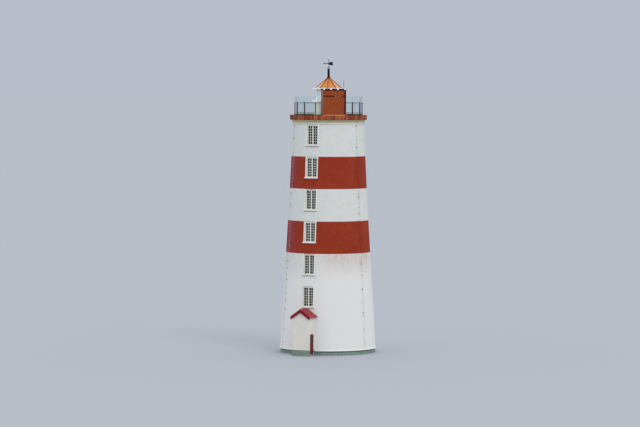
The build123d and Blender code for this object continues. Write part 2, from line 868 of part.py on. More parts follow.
def porch_roof():
    """Two roof slopes, the ridge cap and the bargeboards on the front verge."""
    slope = radians(porch_pitch)
    half = door_side_x + porch_side_overhang
    drop = half * tan(slope)
    lift = porch_roof_thickness / cos(slope)
    near = wall_radius(porch_ridge) * cos(radians(bay_angle / 2))
    verge = porch_front + porch_verge_overhang
    skin = tower_skin(seat_gap)
    slopes = []
    for side in (-1, 1):
        fall = seat_gap * tan(slope)
        outline = [
            (side * seat_gap, porch_ridge - fall),
            (side * half, porch_ridge - drop),
            (side * half, porch_ridge - drop + lift),
            (side * seat_gap, porch_ridge - fall + lift),
        ]
        face = make_face(Polyline(*[(x, -verge, z) for x, z in outline], close=True))
        slopes.append(extrude(face, verge - near, dir=(0, 1, 0)) - skin)
    write("porch_roof_slopes", *slopes)
    top = porch_ridge + lift
    cap_half = ridge_cap_width / 2
    cap_drop = cap_half * tan(slope)
    outline = [
        (-cap_half, top - cap_drop),
        (0, top),
        (cap_half, top - cap_drop),
        (cap_half, top - cap_drop + ridge_cap_thickness),
        (0, top + ridge_cap_thickness),
        (-cap_half, top - cap_drop + ridge_cap_thickness),
    ]
    face = make_face(Polyline(*[(x, -verge, z) for x, z in outline], close=True))
    write("porch_ridge_cap", extrude(face, verge - near, dir=(0, 1, 0)) - skin)
    low = bargeboard_height / cos(slope)
    outline = [
        (0, top - low),
        (half, top - drop - low),
        (half, top - drop),
        (0, top),
        (-half, top - drop),
        (-half, top - drop - low),
    ]
    face = make_face(Polyline(*[(x, -verge, z) for x, z in outline], close=True))
    write("porch_bargeboards", extrude(face, bargeboard_thickness, dir=(0, -1, 0)))


def porch_door():
    """Door in the porch's right wall: frame, half-glazed leaf, hinges and handle."""
    low = door_low
    near = door_near
    member = door_frame_member
    outer = door_side_x
    inner = outer - door_frame_depth
    floor = porch_floor_height
    leaf_top = floor + door_gap + porch_door_height
    head = leaf_top + door_gap
    frame_top = head + member - seat_gap
    frame = porch_box((inner, outer), (near + seat_gap, low - seat_gap), (floor, frame_top), False)
    frame -= porch_box((inner, outer), (near + member, low - member), (floor, head), False)
    write("porch_door_frame", frame)
    leaf_near = near + member + door_gap
    leaf_far = low - member - door_gap
    face = outer
    back = outer - door_thickness
    leaf = porch_box((back, face), (leaf_near, leaf_far), (floor + door_gap, leaf_top), False)
    lock = floor + door_lock_rail_rise
    lights = (leaf_near + door_stile, leaf_far - door_stile)
    leaf -= porch_box((back, face), lights, (lock + door_lock_rail_height, leaf_top - door_stile), False)
    middle = (back + face) / 2
    panel = door_panel_thickness / 2
    lower = (floor + door_gap + door_bottom_rail, lock)
    leaf -= porch_box((back, middle - panel), lights, lower, False)
    leaf -= porch_box((middle + panel, face), lights, lower, False)
    write("porch_door_leaf", leaf)
    pane = pane_thickness / 2
    write("porch_door_glass",
          porch_box((middle - pane, middle + pane), (lights[0] + seat_gap, lights[1] - seat_gap),
                    (lock + door_lock_rail_height + seat_gap, leaf_top - door_stile - seat_gap), False))
    door_hinges(leaf_near, leaf_top)
    door_handle(leaf_far)


def door_hinges(leaf_near, leaf_top):
    """Two pintle hinges: a lug and pin on the jamb, and a strap with an eye on the leaf."""
    pin_x = door_side_x + hinge_standoff
    pin_y = door_gap / 2 - leaf_near
    levels = (porch_floor_height + hinge_end_rise, leaf_top - hinge_end_rise)
    lugs = []
    straps = []
    for level in levels:
        eye_base = level - hinge_eye_height / 2
        pin = Pos(pin_x, pin_y, 0) * upright(hinge_pin_radius, hinge_eye_height, eye_base)
        boss = Pos(pin_x, pin_y, 0) * upright(hinge_lug_radius, hinge_lug_height,
                                              eye_base - hinge_lug_height - seat_gap)
        foot = box((door_side_x, pin_x + hinge_lug_radius), (pin_y, pin_y + hinge_lug_length),
                   (eye_base - hinge_lug_height - seat_gap, eye_base - seat_gap))
        stub = Pos(pin_x, pin_y, 0) * upright(hinge_pin_radius, seat_gap, eye_base - seat_gap)
        lugs.append(pin + boss + foot + stub)
        eye = Pos(pin_x, pin_y, 0) * upright(hinge_eye_radius, hinge_eye_height, eye_base)
        strap = box((door_side_x, door_side_x + hinge_strap_thickness),
                    (pin_y - hinge_strap_length, pin_y),
                    (level - hinge_strap_height / 2, level + hinge_strap_height / 2))
        bore = Pos(pin_x, pin_y, 0) * upright(hinge_pin_radius + hinge_bore_gap, hinge_eye_height, eye_base)
        straps.append(eye + strap - bore)
    write("porch_hinge_pins", *lugs)
    write("porch_hinge_straps", *straps)


def door_handle(leaf_far):
    """Lever handle on its plate, on the leaf's free stile."""
    centre = door_stile / 2 - leaf_far
    level = porch_floor_height + door_handle_rise
    half = handle_plate_width / 2
    face = door_side_x
    plate = box((face, face + handle_plate_thickness), (centre - half, centre + half),
                (level - handle_plate_height / 2, level + handle_plate_height / 2))
    neck = Pos(face + handle_reach / 2, centre, level) * Rot(0, 90, 0)
    neck *= Cylinder(handle_neck_radius, handle_reach)
    lever = Pos(face + handle_reach, centre + handle_length / 2, level) * Rot(90, 0, 0)
    lever *= Cylinder(handle_radius, handle_length + 2 * handle_radius)
    write("porch_door_handle", plate + neck + lever)


os.makedirs("parts", exist_ok=True)
floors()
ground_walls()
for storey in range(1, storey_count):
    storey_walls(storey)
windows()
cornice()
gallery_deck()
railing()
cabin()
lantern_body()
weather_vane(lantern_roof())
conductors()
porch_base()
porch_walls()
porch_roof()
porch_door()
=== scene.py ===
import json
import math

import bmesh
import bpy
from mathutils import Matrix, Vector


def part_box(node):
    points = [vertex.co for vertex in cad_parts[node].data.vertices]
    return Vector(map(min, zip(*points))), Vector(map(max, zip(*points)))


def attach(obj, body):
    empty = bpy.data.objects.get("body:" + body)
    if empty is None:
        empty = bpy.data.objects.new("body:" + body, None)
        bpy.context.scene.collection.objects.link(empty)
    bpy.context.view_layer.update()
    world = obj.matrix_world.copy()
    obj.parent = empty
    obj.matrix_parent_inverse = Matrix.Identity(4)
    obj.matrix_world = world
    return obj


# A banded masonry lighthouse with its gallery, lantern and porch. Lengths are in metres.
# The tower's axis is +Z from the ground, and the porch and the front windows face -Y.
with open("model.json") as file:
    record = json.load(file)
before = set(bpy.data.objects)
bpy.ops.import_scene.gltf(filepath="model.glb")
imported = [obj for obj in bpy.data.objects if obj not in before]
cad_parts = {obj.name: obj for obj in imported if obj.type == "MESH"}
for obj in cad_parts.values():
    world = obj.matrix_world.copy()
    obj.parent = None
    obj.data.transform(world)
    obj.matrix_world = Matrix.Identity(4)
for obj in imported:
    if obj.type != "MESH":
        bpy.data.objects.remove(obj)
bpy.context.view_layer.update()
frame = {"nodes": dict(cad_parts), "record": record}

# Sizes repeated from the solids: the tower
PLINTH = 0.400
STOREY = 3.040
STOREYS = 7
FOOT_RADIUS = 4.550
HEAD_RADIUS = 3.381
HEAD_FLARE = 0.105
FLARE_HEIGHT = 10.640
WALL_HEAD = PLINTH + STOREYS * STOREY
DECK_BOTTOM = WALL_HEAD + 0.430
DECK_TOP = DECK_BOTTOM + 0.410
FASCIA_RADIUS = 3.6455
FASCIA_BOTTOM = DECK_BOTTOM - 0.020

# Windows
SILL_FOOT = 0.992
FRAME_SETBACK = 0.120
FRAME_DEPTH = 0.090
LIGHT_INNER = 0.050
LIGHT_OUTER = 0.480
LIGHT_BOTTOM = 1.170
LIGHT_TOP = 2.870
GLASS_HALF = 0.003

# Gallery railing
RAIL_RADIUS = 3.205
POST_COUNT = 16
POST_AZIMUTH = 26.6
FIRST_POST = 2
LAST_POST = 15
POST_HALF = 0.030
KERB_TOP = DECK_TOP + 0.070
POST_FOOT_HALF = 0.042
POST_FOOT_TOP = KERB_TOP + 0.014
RAIL_HALF = 0.022
RAIL_HEIGHTS = (DECK_TOP + 0.215, DECK_TOP + 1.156)
RAILING_TOP = DECK_TOP + 1.178
WIRE_RAIL = DECK_TOP + 1.728

# Gallery cabin
CABIN_AZIMUTH = 36.6
CABIN_FRONT = 3.350
CABIN_HALF = 1.080
CABIN_BACK = CABIN_FRONT - 1.300
CABIN_EAVE = DECK_TOP + 2.420
CABIN_TOP = DECK_TOP + 2.510
CABIN_ROOF_REACH = 0.030
CABIN_FLASHING_TOP = DECK_TOP + 0.062
CABIN_SEAM = DECK_TOP + 1.8125
CABIN_SEAM_HALF = 0.024
CABIN_SEAM_FACE = CABIN_FRONT + 0.022

# Lantern
LANTERN_AZIMUTH = 22.6
LANTERN_SIDES = 10
LANTERN_HALF_STEP = math.radians(180 / LANTERN_SIDES)
LANTERN_WALL = 1.324
LANTERN_WALL_TOP = DECK_TOP + 1.250
LANTERN_POST = 0.046
LANTERN_EAVE = 1.540
LANTERN_EAVE_TOP = DECK_TOP + 2.550
LANTERN_ROOF = 1.270
LANTERN_APEX = LANTERN_EAVE_TOP + 1.040
VENT_RADIUS = 0.112
VENT_TOP = LANTERN_APEX + 0.790

# Porch
PORCH_HALF = 0.845
PORCH_FRONT = FOOT_RADIUS + 1.180
PORCH_PITCH = math.radians(35)
PORCH_EAVE = 3.690
PORCH_RIDGE = PORCH_EAVE + PORCH_HALF * math.tan(PORCH_PITCH)
PORCH_ROOF_TOP = PORCH_RIDGE + 0.090 / math.cos(PORCH_PITCH)
PORCH_ROOF_HALF = PORCH_HALF + 0.160
PORCH_VERGE = PORCH_FRONT + 0.090
PORCH_BASE = 0.560
DOOR_PANEL_BOTTOM = 0.200
DOOR_PANEL_TOP = 0.791
DOOR_PANEL_HALF = 0.010

# The conductor at the front left, and the side that the photograph was taken from, in degrees from
# -Y towards +X
LEFT_CONDUCTOR = -43.4
PHOTO_AZIMUTH = 26.6


def wall_radius(height):
    """Outer radius of the tower at a height: a straight taper that eases outwards under the gallery."""
    fall = (FOOT_RADIUS - HEAD_RADIUS + HEAD_FLARE) / (WALL_HEAD - PLINTH)
    rise = max(0, 1 - (WALL_HEAD - height) / FLARE_HEIGHT)
    return FOOT_RADIUS - fall * (height - PLINTH) + HEAD_FLARE * rise ** 2


def turned(azimuth):
    """Turns a piece made facing -Y to an azimuth in degrees."""
    return Matrix.Rotation(math.radians(azimuth), 4, "Z")


# Shader nodes, and the patterns that the finishes share
def linear(colour):
    """Linear RGBA of an sRGB hex colour."""
    channels = [int(colour[index:index + 2], 16) / 255 for index in (1, 3, 5)]
    return (*[c / 12.92 if c <= 0.04045 else ((c + 0.055) / 1.055) ** 2.4 for c in channels], 1.0)


def add(tree, kind, inputs=None, **settings):
    """Adds a shader node with its settings and links. A hex colour is turned to linear, and a node
    is linked by its first output in use."""
    made = tree.nodes.new("ShaderNode" + kind)
    for name, value in settings.items():
        setattr(made, name, value)
    for name, value in (inputs or {}).items():
        if isinstance(value, bpy.types.Node):
            value = next(output for output in value.outputs if output.enabled)
        if isinstance(value, bpy.types.NodeSocket):
            tree.links.new(value, made.inputs[name])
        else:
            made.inputs[name].default_value = linear(value) if isinstance(value, str) else value
    return made


def new_material(name):
    """An empty material, with its tree and object coordinates."""
    material = bpy.data.materials.new(name)
    material.use_nodes = True
    tree = material.node_tree
    tree.nodes.clear()
    return material, tree, add(tree, "TexCoord").outputs["Object"]


def mottle(tree, place, size, detail, stretch=(1, 1, 1), offset=0.0):
    """Noise whose blotches are about a size in metres, drawn out along an axis by a stretch."""
    scale = [1 / (size * part) for part in stretch]
    moved = add(tree, "Mapping", {"Vector": place, "Scale": scale, "Location": (offset, offset, offset)})
    return add(tree, "TexNoise", {"Vector": moved, "Scale": 1.0, "Detail": detail, "Roughness": 0.55})


def within(tree, value, *edges):
    """Mask of where a value lies inside soft edges, each given by where it starts and where it is full."""
    mask = None
    for start, full in edges:
        edge = add(tree, "MapRange", {"Value": value, "From Min": start, "From Max": full},
                   interpolation_type="SMOOTHSTEP")
        mask = add(tree, "Math", {0: mask, 1: edge}, operation="MULTIPLY") if mask else edge
    return mask


def blotches(tree, place, size, start, full, detail, stretch=(1, 1, 1), offset=0.0):
    """Mask of the blotches where a mottle rises above a level, with a soft edge."""
    return within(tree, mottle(tree, place, size, detail, stretch, offset), (start, full))


def laid_over(tree, colour, over, share, *masks):
    """A colour with a share of another one laid over it, where all the masks allow."""
    for mask in masks:
        share = add(tree, "Math", {0: share, 1: mask}, operation="MULTIPLY")
    return add(tree, "Mix", {0: share, 6: colour, 7: over}, data_type="RGBA")


def relief(tree, *layers):
    """Bumps laid one over another, each with its height, its depth in metres and its strength."""
    normal = None
    for height, depth, strength in layers:
        inputs = {"Height": height, "Distance": depth, "Strength": strength}
        if normal:
            inputs["Normal"] = normal
        normal = add(tree, "Bump", inputs)
    return normal


def axes_of(tree, place):
    """Place along each axis, and the turn about the tower's axis in radians, 0 facing -Y."""
    x, y, z = add(tree, "SeparateXYZ", {0: place}).outputs
    forward = add(tree, "Math", {0: y, 1: -1.0}, operation="MULTIPLY")
    return x, y, z, add(tree, "Math", {0: x, 1: forward}, operation="ARCTAN2")


def storeys_up(tree, height):
    """Height above the plinth, in storeys."""
    return add(tree, "Math", {0: height, 1: 1 / STOREY, 2: -PLINTH / STOREY}, operation="MULTIPLY_ADD")


def grooves(tree, value, pitch, width):
    """Mask of the narrow grooves between strips laid at a pitch along a value."""
    count = add(tree, "Math", {0: value, 1: 1 / pitch}, operation="MULTIPLY")
    from_joint = add(tree, "Math", {0: count, 1: 0.5}, operation="PINGPONG")
    return within(tree, from_joint, (width / pitch, 0.0))


def strip_tones(tree, value, pitch):
    """A tone for each strip laid at a pitch along a value."""
    count = add(tree, "Math", {0: value, 1: 1 / pitch, 2: 0.5}, operation="MULTIPLY_ADD")
    number = add(tree, "Math", {0: count}, operation="FLOOR")
    return add(tree, "TexWhiteNoise", {"W": number}, noise_dimensions="1D")


def course_fields(tree, place, around, course):
    """Stone courses wrapped round the tower: the joint mask, and a tone for each stone."""
    _, _, height, turn = axes_of(tree, place)
    wobble = mottle(tree, place, 0.5, 2.0)
    rows = add(tree, "Math", {0: height, 1: 1 / course}, operation="MULTIPLY")
    stones = add(tree, "Math", {0: turn, 1: around / (2 * math.pi)}, operation="MULTIPLY")
    up = add(tree, "Math", {0: wobble, 1: 0.16, 2: rows}, operation="MULTIPLY_ADD")
    across = add(tree, "Math", {0: wobble, 1: 0.20, 2: stones}, operation="MULTIPLY_ADD")
    laid = add(tree, "CombineXYZ", {"X": across, "Y": up})
    bond = {"Vector": laid, "Scale": 1.0, "Brick Width": 1.0, "Row Height": 1.0,
            "Mortar Size": 0.05, "Mortar Smooth": 1.0,
            "Color1": (0, 0, 0, 1), "Color2": (1, 1, 1, 1), "Mortar": (0.5, 0.5, 0.5, 1)}
    wall = add(tree, "TexBrick", bond, offset=0.5)
    return wall.outputs["Fac"], wall.outputs["Color"]


def finish_of(tree, inputs):
    """Joins a principled shader with its inputs to the material's output."""
    add(tree, "OutputMaterial", {"Surface": add(tree, "BsdfPrincipled", inputs)})


def painted(tree, colour, worn, rough, normal, gleam):
    """Joins up a paint whose roughness goes from one value to another where it is worn."""
    fresh, spent = rough
    roughness = add(tree, "MapRange", {"Value": worn, "To Min": fresh, "To Max": spent},
                    interpolation_type="SMOOTHSTEP")
    finish_of(tree, {"Base Color": colour, "Roughness": roughness, "Normal": normal,
                     "Specular IOR Level": gleam})


# Limewash and masonry paint
STONE_LENGTH = 0.58
COURSE_HEIGHT = 0.30


def painted_masonry(name, paint, chalk, grime, joint=0.06, patchy=0.35, streaky=0.05, joint_depth=0.004,
                    stone=STONE_LENGTH, course=COURSE_HEIGHT, extra=None):
    """Masonry under many coats of limewash: dead matt, soft stone courses and chalky patches."""
    material, tree, place = new_material(name)
    around = round(math.pi * (FOOT_RADIUS + HEAD_RADIUS) / stone)
    joints, tones = course_fields(tree, place, around, course)
    patches = blotches(tree, place, 1.4, 0.42, 0.62, 5.0)
    damp = blotches(tree, place, 0.55, 0.50, 0.70, 5.0, offset=7.0)
    streaks = blotches(tree, place, 0.14, 0.52, 0.72, 4.0, (1, 1, 16))
    spots = blotches(tree, place, 0.06, 0.64, 0.72, 3.0)
    colour = laid_over(tree, paint, chalk, patchy, patches)
    colour = laid_over(tree, colour, chalk, patchy * 0.3, tones)
    colour = laid_over(tree, colour, grime, patchy * 0.5, damp)
    for mask, share in ((streaks, streaky), (spots, streaky), (joints, joint)):
        colour = laid_over(tree, colour, grime, share, mask)
    if extra:
        colour = extra(tree, place, colour)
    normal = relief(tree, (joints, -joint_depth, 1.0), (mottle(tree, place, 0.22, 3.0), 0.010, 0.6),
                    (mottle(tree, place, 0.012, 3.0), 0.0015, 0.5))
    painted(tree, colour, patches, (0.78, 0.92), normal, 0.15)
    return material


def sill_shadow_line(tree, place, colour):
    """A painted shadow: a grey line on the wall just below each sill, where the sill's shadow falls."""
    across, _, height, _ = axes_of(tree, place)
    above = add(tree, "Math", {0: storeys_up(tree, height)}, operation="FRACT")
    below = add(tree, "Math", {0: SILL_FOOT / STOREY, 1: above}, operation="SUBTRACT")
    aside = add(tree, "Math", {0: across}, operation="ABSOLUTE")
    line = within(tree, below, (-0.004, 0.004), (0.030, 0.014))
    under_sill = within(tree, aside, (0.74, 0.64))
    upstairs = within(tree, height, (PLINTH + STOREY, PLINTH + STOREY + 0.1))
    # Painted shadow of each sill, laid as a grey line just below it
    return laid_over(tree, colour, "#686965", 0.75, line, under_sill, upstairs)


def lit_foot_and_sill_shadows(tree, place, colour):
    """Painted light: the lowest storeys are painted brighter against the shade near the floor, and the
    sills keep their painted shadows.
    """
    _, _, height, _ = axes_of(tree, place)
    foot = within(tree, height, (PLINTH + 3 * STOREY, PLINTH + 2 * STOREY))
    # Painted light on the lowest storeys, over the painted shadows under the sills
    return sill_shadow_line(tree, place, laid_over(tree, colour, "#d9dada", 1.0, foot))


def pink_wash_and_lit_foot(tree, place, colour):
    """Red that rain has carried down from the band above, on the weather side."""
    _, _, height, turn = axes_of(tree, place)
    top = PLINTH + 3 * STOREY
    fall = within(tree, height, (top - 0.8 * STOREY, top + 0.3))
    side = within(tree, turn, (0.15, 0.75), (1.9, 1.5))
    runs = blotches(tree, place, 0.34, 0.30, 0.70, 6.0, (1, 1, 2.5), offset=3.0)
    # The pink run-off lies over the painted light of the foot and the painted sill shadows
    return laid_over(tree, lit_foot_and_sill_shadows(tree, place, colour), "#bd8178", 0.44, fall, side, runs)


def flakes_and_sky_sheen(tree, place, colour):
    """Red paint with a painted sheen of the sky on its shaded left side, scabbed with pale flakes beside
    the front left conductor.
    """
    _, _, _, turn = axes_of(tree, place)
    across = add(tree, "Math", {0: turn, 1: math.radians(LEFT_CONDUCTOR)}, operation="SUBTRACT")
    away = add(tree, "Math", {0: across}, operation="ABSOLUTE")
    scabs = blotches(tree, place, 0.075, 0.58, 0.62, 2.0, offset=5.0)
    deep = blotches(tree, place, 0.42, 0.55, 0.66, 6.0, offset=11.0)
    left = within(tree, turn, (math.radians(-14), math.radians(-46)),
                  (math.radians(-110), math.radians(-70)))
    # Painted sheen of the sky: a cool violet red over the shaded left side
    colour = laid_over(tree, colour, "#903a44", 0.7, left)
    colour = laid_over(tree, colour, "#c4bfc6", 0.9, within(tree, away, (0.12, 0.02)), scabs)
    return laid_over(tree, colour, "#6e2214", 0.28, deep)


def drip_shadow_line(tree, place, colour):
    """A painted shadow: the plinth's top is darkened in a band where the wall's drip shades it."""
    _, _, height, _ = axes_of(tree, place)
    # Painted shadow of the drip along the plinth's top
    return laid_over(tree, colour, "#39403c", 0.65, within(tree, height, (PLINTH - 0.16, PLINTH - 0.06)))


def cove_colour(tree, place, colour):
    """The cove keeps its stone colour, while the band below and the fillet above are white."""
    _, _, height, _ = axes_of(tree, place)
    cove = within(tree, height, (WALL_HEAD + 0.140, WALL_HEAD + 0.170),
                  (DECK_BOTTOM - 0.035, DECK_BOTTOM - 0.045))
    lichen = blotches(tree, place, 0.8, 0.42, 0.60, 4.0, offset=2.0)
    stone = laid_over(tree, "#bfae8c", "#afa885", 1.0, lichen)
    return laid_over(tree, colour, stone, 1.0, cove)


# Oil paint on sheet and bar iron
BOARD_COUNT = 124


def painted_metal(name, paint, faded, rust, rusty=0.35, rough=0.50, size=0.5, gleam=0.15, extra=None):
    """Brushed coats of oil paint on sheet or bar iron: low satin, faded patches, rust run from pits."""
    material, tree, place = new_material(name)
    fade = blotches(tree, place, size, 0.38, 0.66, 5.0)
    pits = blotches(tree, place, size * 0.22, 0.58, 0.74, 6.0, (1, 1, 6))
    flecks = blotches(tree, place, size * 0.06, 0.64, 0.74, 3.0)
    colour = laid_over(tree, paint, faded, 0.6, fade)
    if extra:
        colour = extra(tree, place, colour)
    colour = laid_over(tree, colour, rust, rusty, pits)
    colour = laid_over(tree, colour, rust, rusty * 0.6, flecks)
    brush_marks = mottle(tree, place, 0.02, 3.0, (1, 1, 8))
    normal = relief(tree, (brush_marks, 0.0008, 0.4), (fade, 0.004, 0.25))
    painted(tree, colour, pits, (rough, min(rough + 0.3, 0.95)), normal, gleam)
    return material


def board_tones_and_shade(tree, place, colour):
    """Each fascia board has weathered to its own tone, burnt orange to dark red brown; the left end has
    painted shade.
    """
    _, _, height, turn = axes_of(tree, place)
    tones = strip_tones(tree, turn, 2 * math.pi / BOARD_COUNT)
    shade = within(tree, turn, (math.radians(-34), math.radians(-46)))
    foot = within(tree, height, (FASCIA_BOTTOM + 0.10, FASCIA_BOTTOM))
    colour = laid_over(tree, colour, "#651e14", 0.55, within(tree, tones, (0.42, 0.30)))
    colour = laid_over(tree, colour, "#b36a40", 0.50, within(tree, tones, (0.66, 0.80)))
    # Painted shade on the fascia's left end, away from the light
    colour = laid_over(tree, colour, "#4a1d20", 0.6, shade)
    return laid_over(tree, colour, "#4a160c", 0.55, foot)


def sky_sheen_sides(tree, place, colour):
    """A painted sheen of the sky: the roof is painted paler on the faces turned about a right angle from
    the camera's side.
    """
    _, _, _, turn = axes_of(tree, place)
    away = add(tree, "Math", {0: turn, 1: math.radians(PHOTO_AZIMUTH)}, operation="SUBTRACT")
    twice = add(tree, "Math", {0: away, 1: 2.0}, operation="MULTIPLY")
    facing = add(tree, "Math", {0: twice}, operation="COSINE")
    # Painted sheen of the sky on the roof's faces seen at a slant
    return laid_over(tree, colour, "#f0cda8", 0.55, within(tree, facing, (0.25, -0.35)))


def zinc_tops(tree, place, colour):
    """Above the top rail the posts carry only a thin galvanised stanchion."""
    _, _, height, _ = axes_of(tree, place)
    tops = within(tree, height, (DECK_TOP + 1.21, DECK_TOP + 1.22))
    return laid_over(tree, colour, "#b4c6d0", 1.0, tops)


def pale_top_wire(tree, place, colour):
    """The wire rail at the top is bare zinc."""
    _, _, height, _ = axes_of(tree, place)
    wire = within(tree, height, (WIRE_RAIL - 0.05, WIRE_RAIL - 0.04))
    return laid_over(tree, colour, "#c6d6dc", 1.0, wire)


def violet_shade_ends(tree, place, colour):
    """Painted shade with a violet cast on the netting at the two ends of the side facing the camera, where
    it is seen edge on.
    """
    _, _, _, turn = axes_of(tree, place)
    away = add(tree, "Math", {0: turn, 1: math.radians(PHOTO_AZIMUTH)}, operation="SUBTRACT")
    swing = add(tree, "Math", {0: away}, operation="SINE")
    aside = add(tree, "Math", {0: swing}, operation="ABSOLUTE")
    # Painted violet shade where the netting turns edge on
    return laid_over(tree, colour, "#a08cb2", 0.75, within(tree, aside, (0.86, 0.96)))


def washed_over(tree, place, colour):
    """Each band's wash was brushed over the conductor too."""
    _, _, height, _ = axes_of(tree, place)
    storey = storeys_up(tree, height)
    lower_band = within(tree, storey, (2.99, 3.0), (4.0, 3.99))
    upper_band = within(tree, storey, (4.99, 5.0), (6.0, 5.99))
    red = add(tree, "Math", {0: lower_band, 1: upper_band}, operation="ADD")
    wash = laid_over(tree, "#bcbebb", "#742b1c", 1.0, red)
    return laid_over(tree, colour, wash, 0.85, within(tree, height, (WALL_HEAD, WALL_HEAD - 0.05)))


# Oil paint on pine, and glass
BOARD_PITCH = 0.140
FLOOR_PITCH = 0.160
BOARD_JOINT = 0.006


def painted_boards(name, paint, worn, bare, along=(1, 1, 12), pitch=None):
    """Oil-painted pine: the grain shows through, and the coat is thin and dirty in streaks."""
    material, tree, place = new_material(name)
    # The grain is drawn some ten times as coarse as pine's, or it would not show
    grain = mottle(tree, place, 0.012, 5.0, along)
    patches = blotches(tree, place, 0.35, 0.40, 0.65, 4.0)
    chips = blotches(tree, place, 0.035, 0.68, 0.75, 5.0, along)
    colour = laid_over(tree, paint, worn, 0.4, patches)
    colour = laid_over(tree, colour, bare, 0.4, chips)
    colour = laid_over(tree, colour, worn, 0.10, grain)
    layers = [(grain, 0.0012, 0.6)]
    if pitch:
        across, forward, _, _ = axes_of(tree, place)
        along_wall = add(tree, "Math", {0: across, 1: forward}, operation="ADD")
        gaps = grooves(tree, along_wall, pitch, BOARD_JOINT)
        colour = laid_over(tree, colour, bare, 0.45, gaps)
        layers.append((gaps, -BOARD_JOINT, 1.0))
    painted(tree, colour, patches, (0.60, 0.80), relief(tree, *layers), 0.20)
    return material


def drawn_glass(name, tint, deep, body):
    """Old drawn glass: uneven in tint, with a wavy gloss, and a body that hides what is behind it and
    paints it instead.
    """
    material, tree, place = new_material(name)
    cast = blotches(tree, place, 0.45, 0.35, 0.65, 2.0, (1, 1, 2))
    waves = relief(tree, (mottle(tree, place, 0.16, 2.0), 0.002, 0.35))
    colour = laid_over(tree, deep, tint, 1.0, cast)
    finish_of(tree, {"Base Color": colour, "Normal": waves, "Roughness": 0.08, "IOR": 1.52, "Alpha": body})
    return material


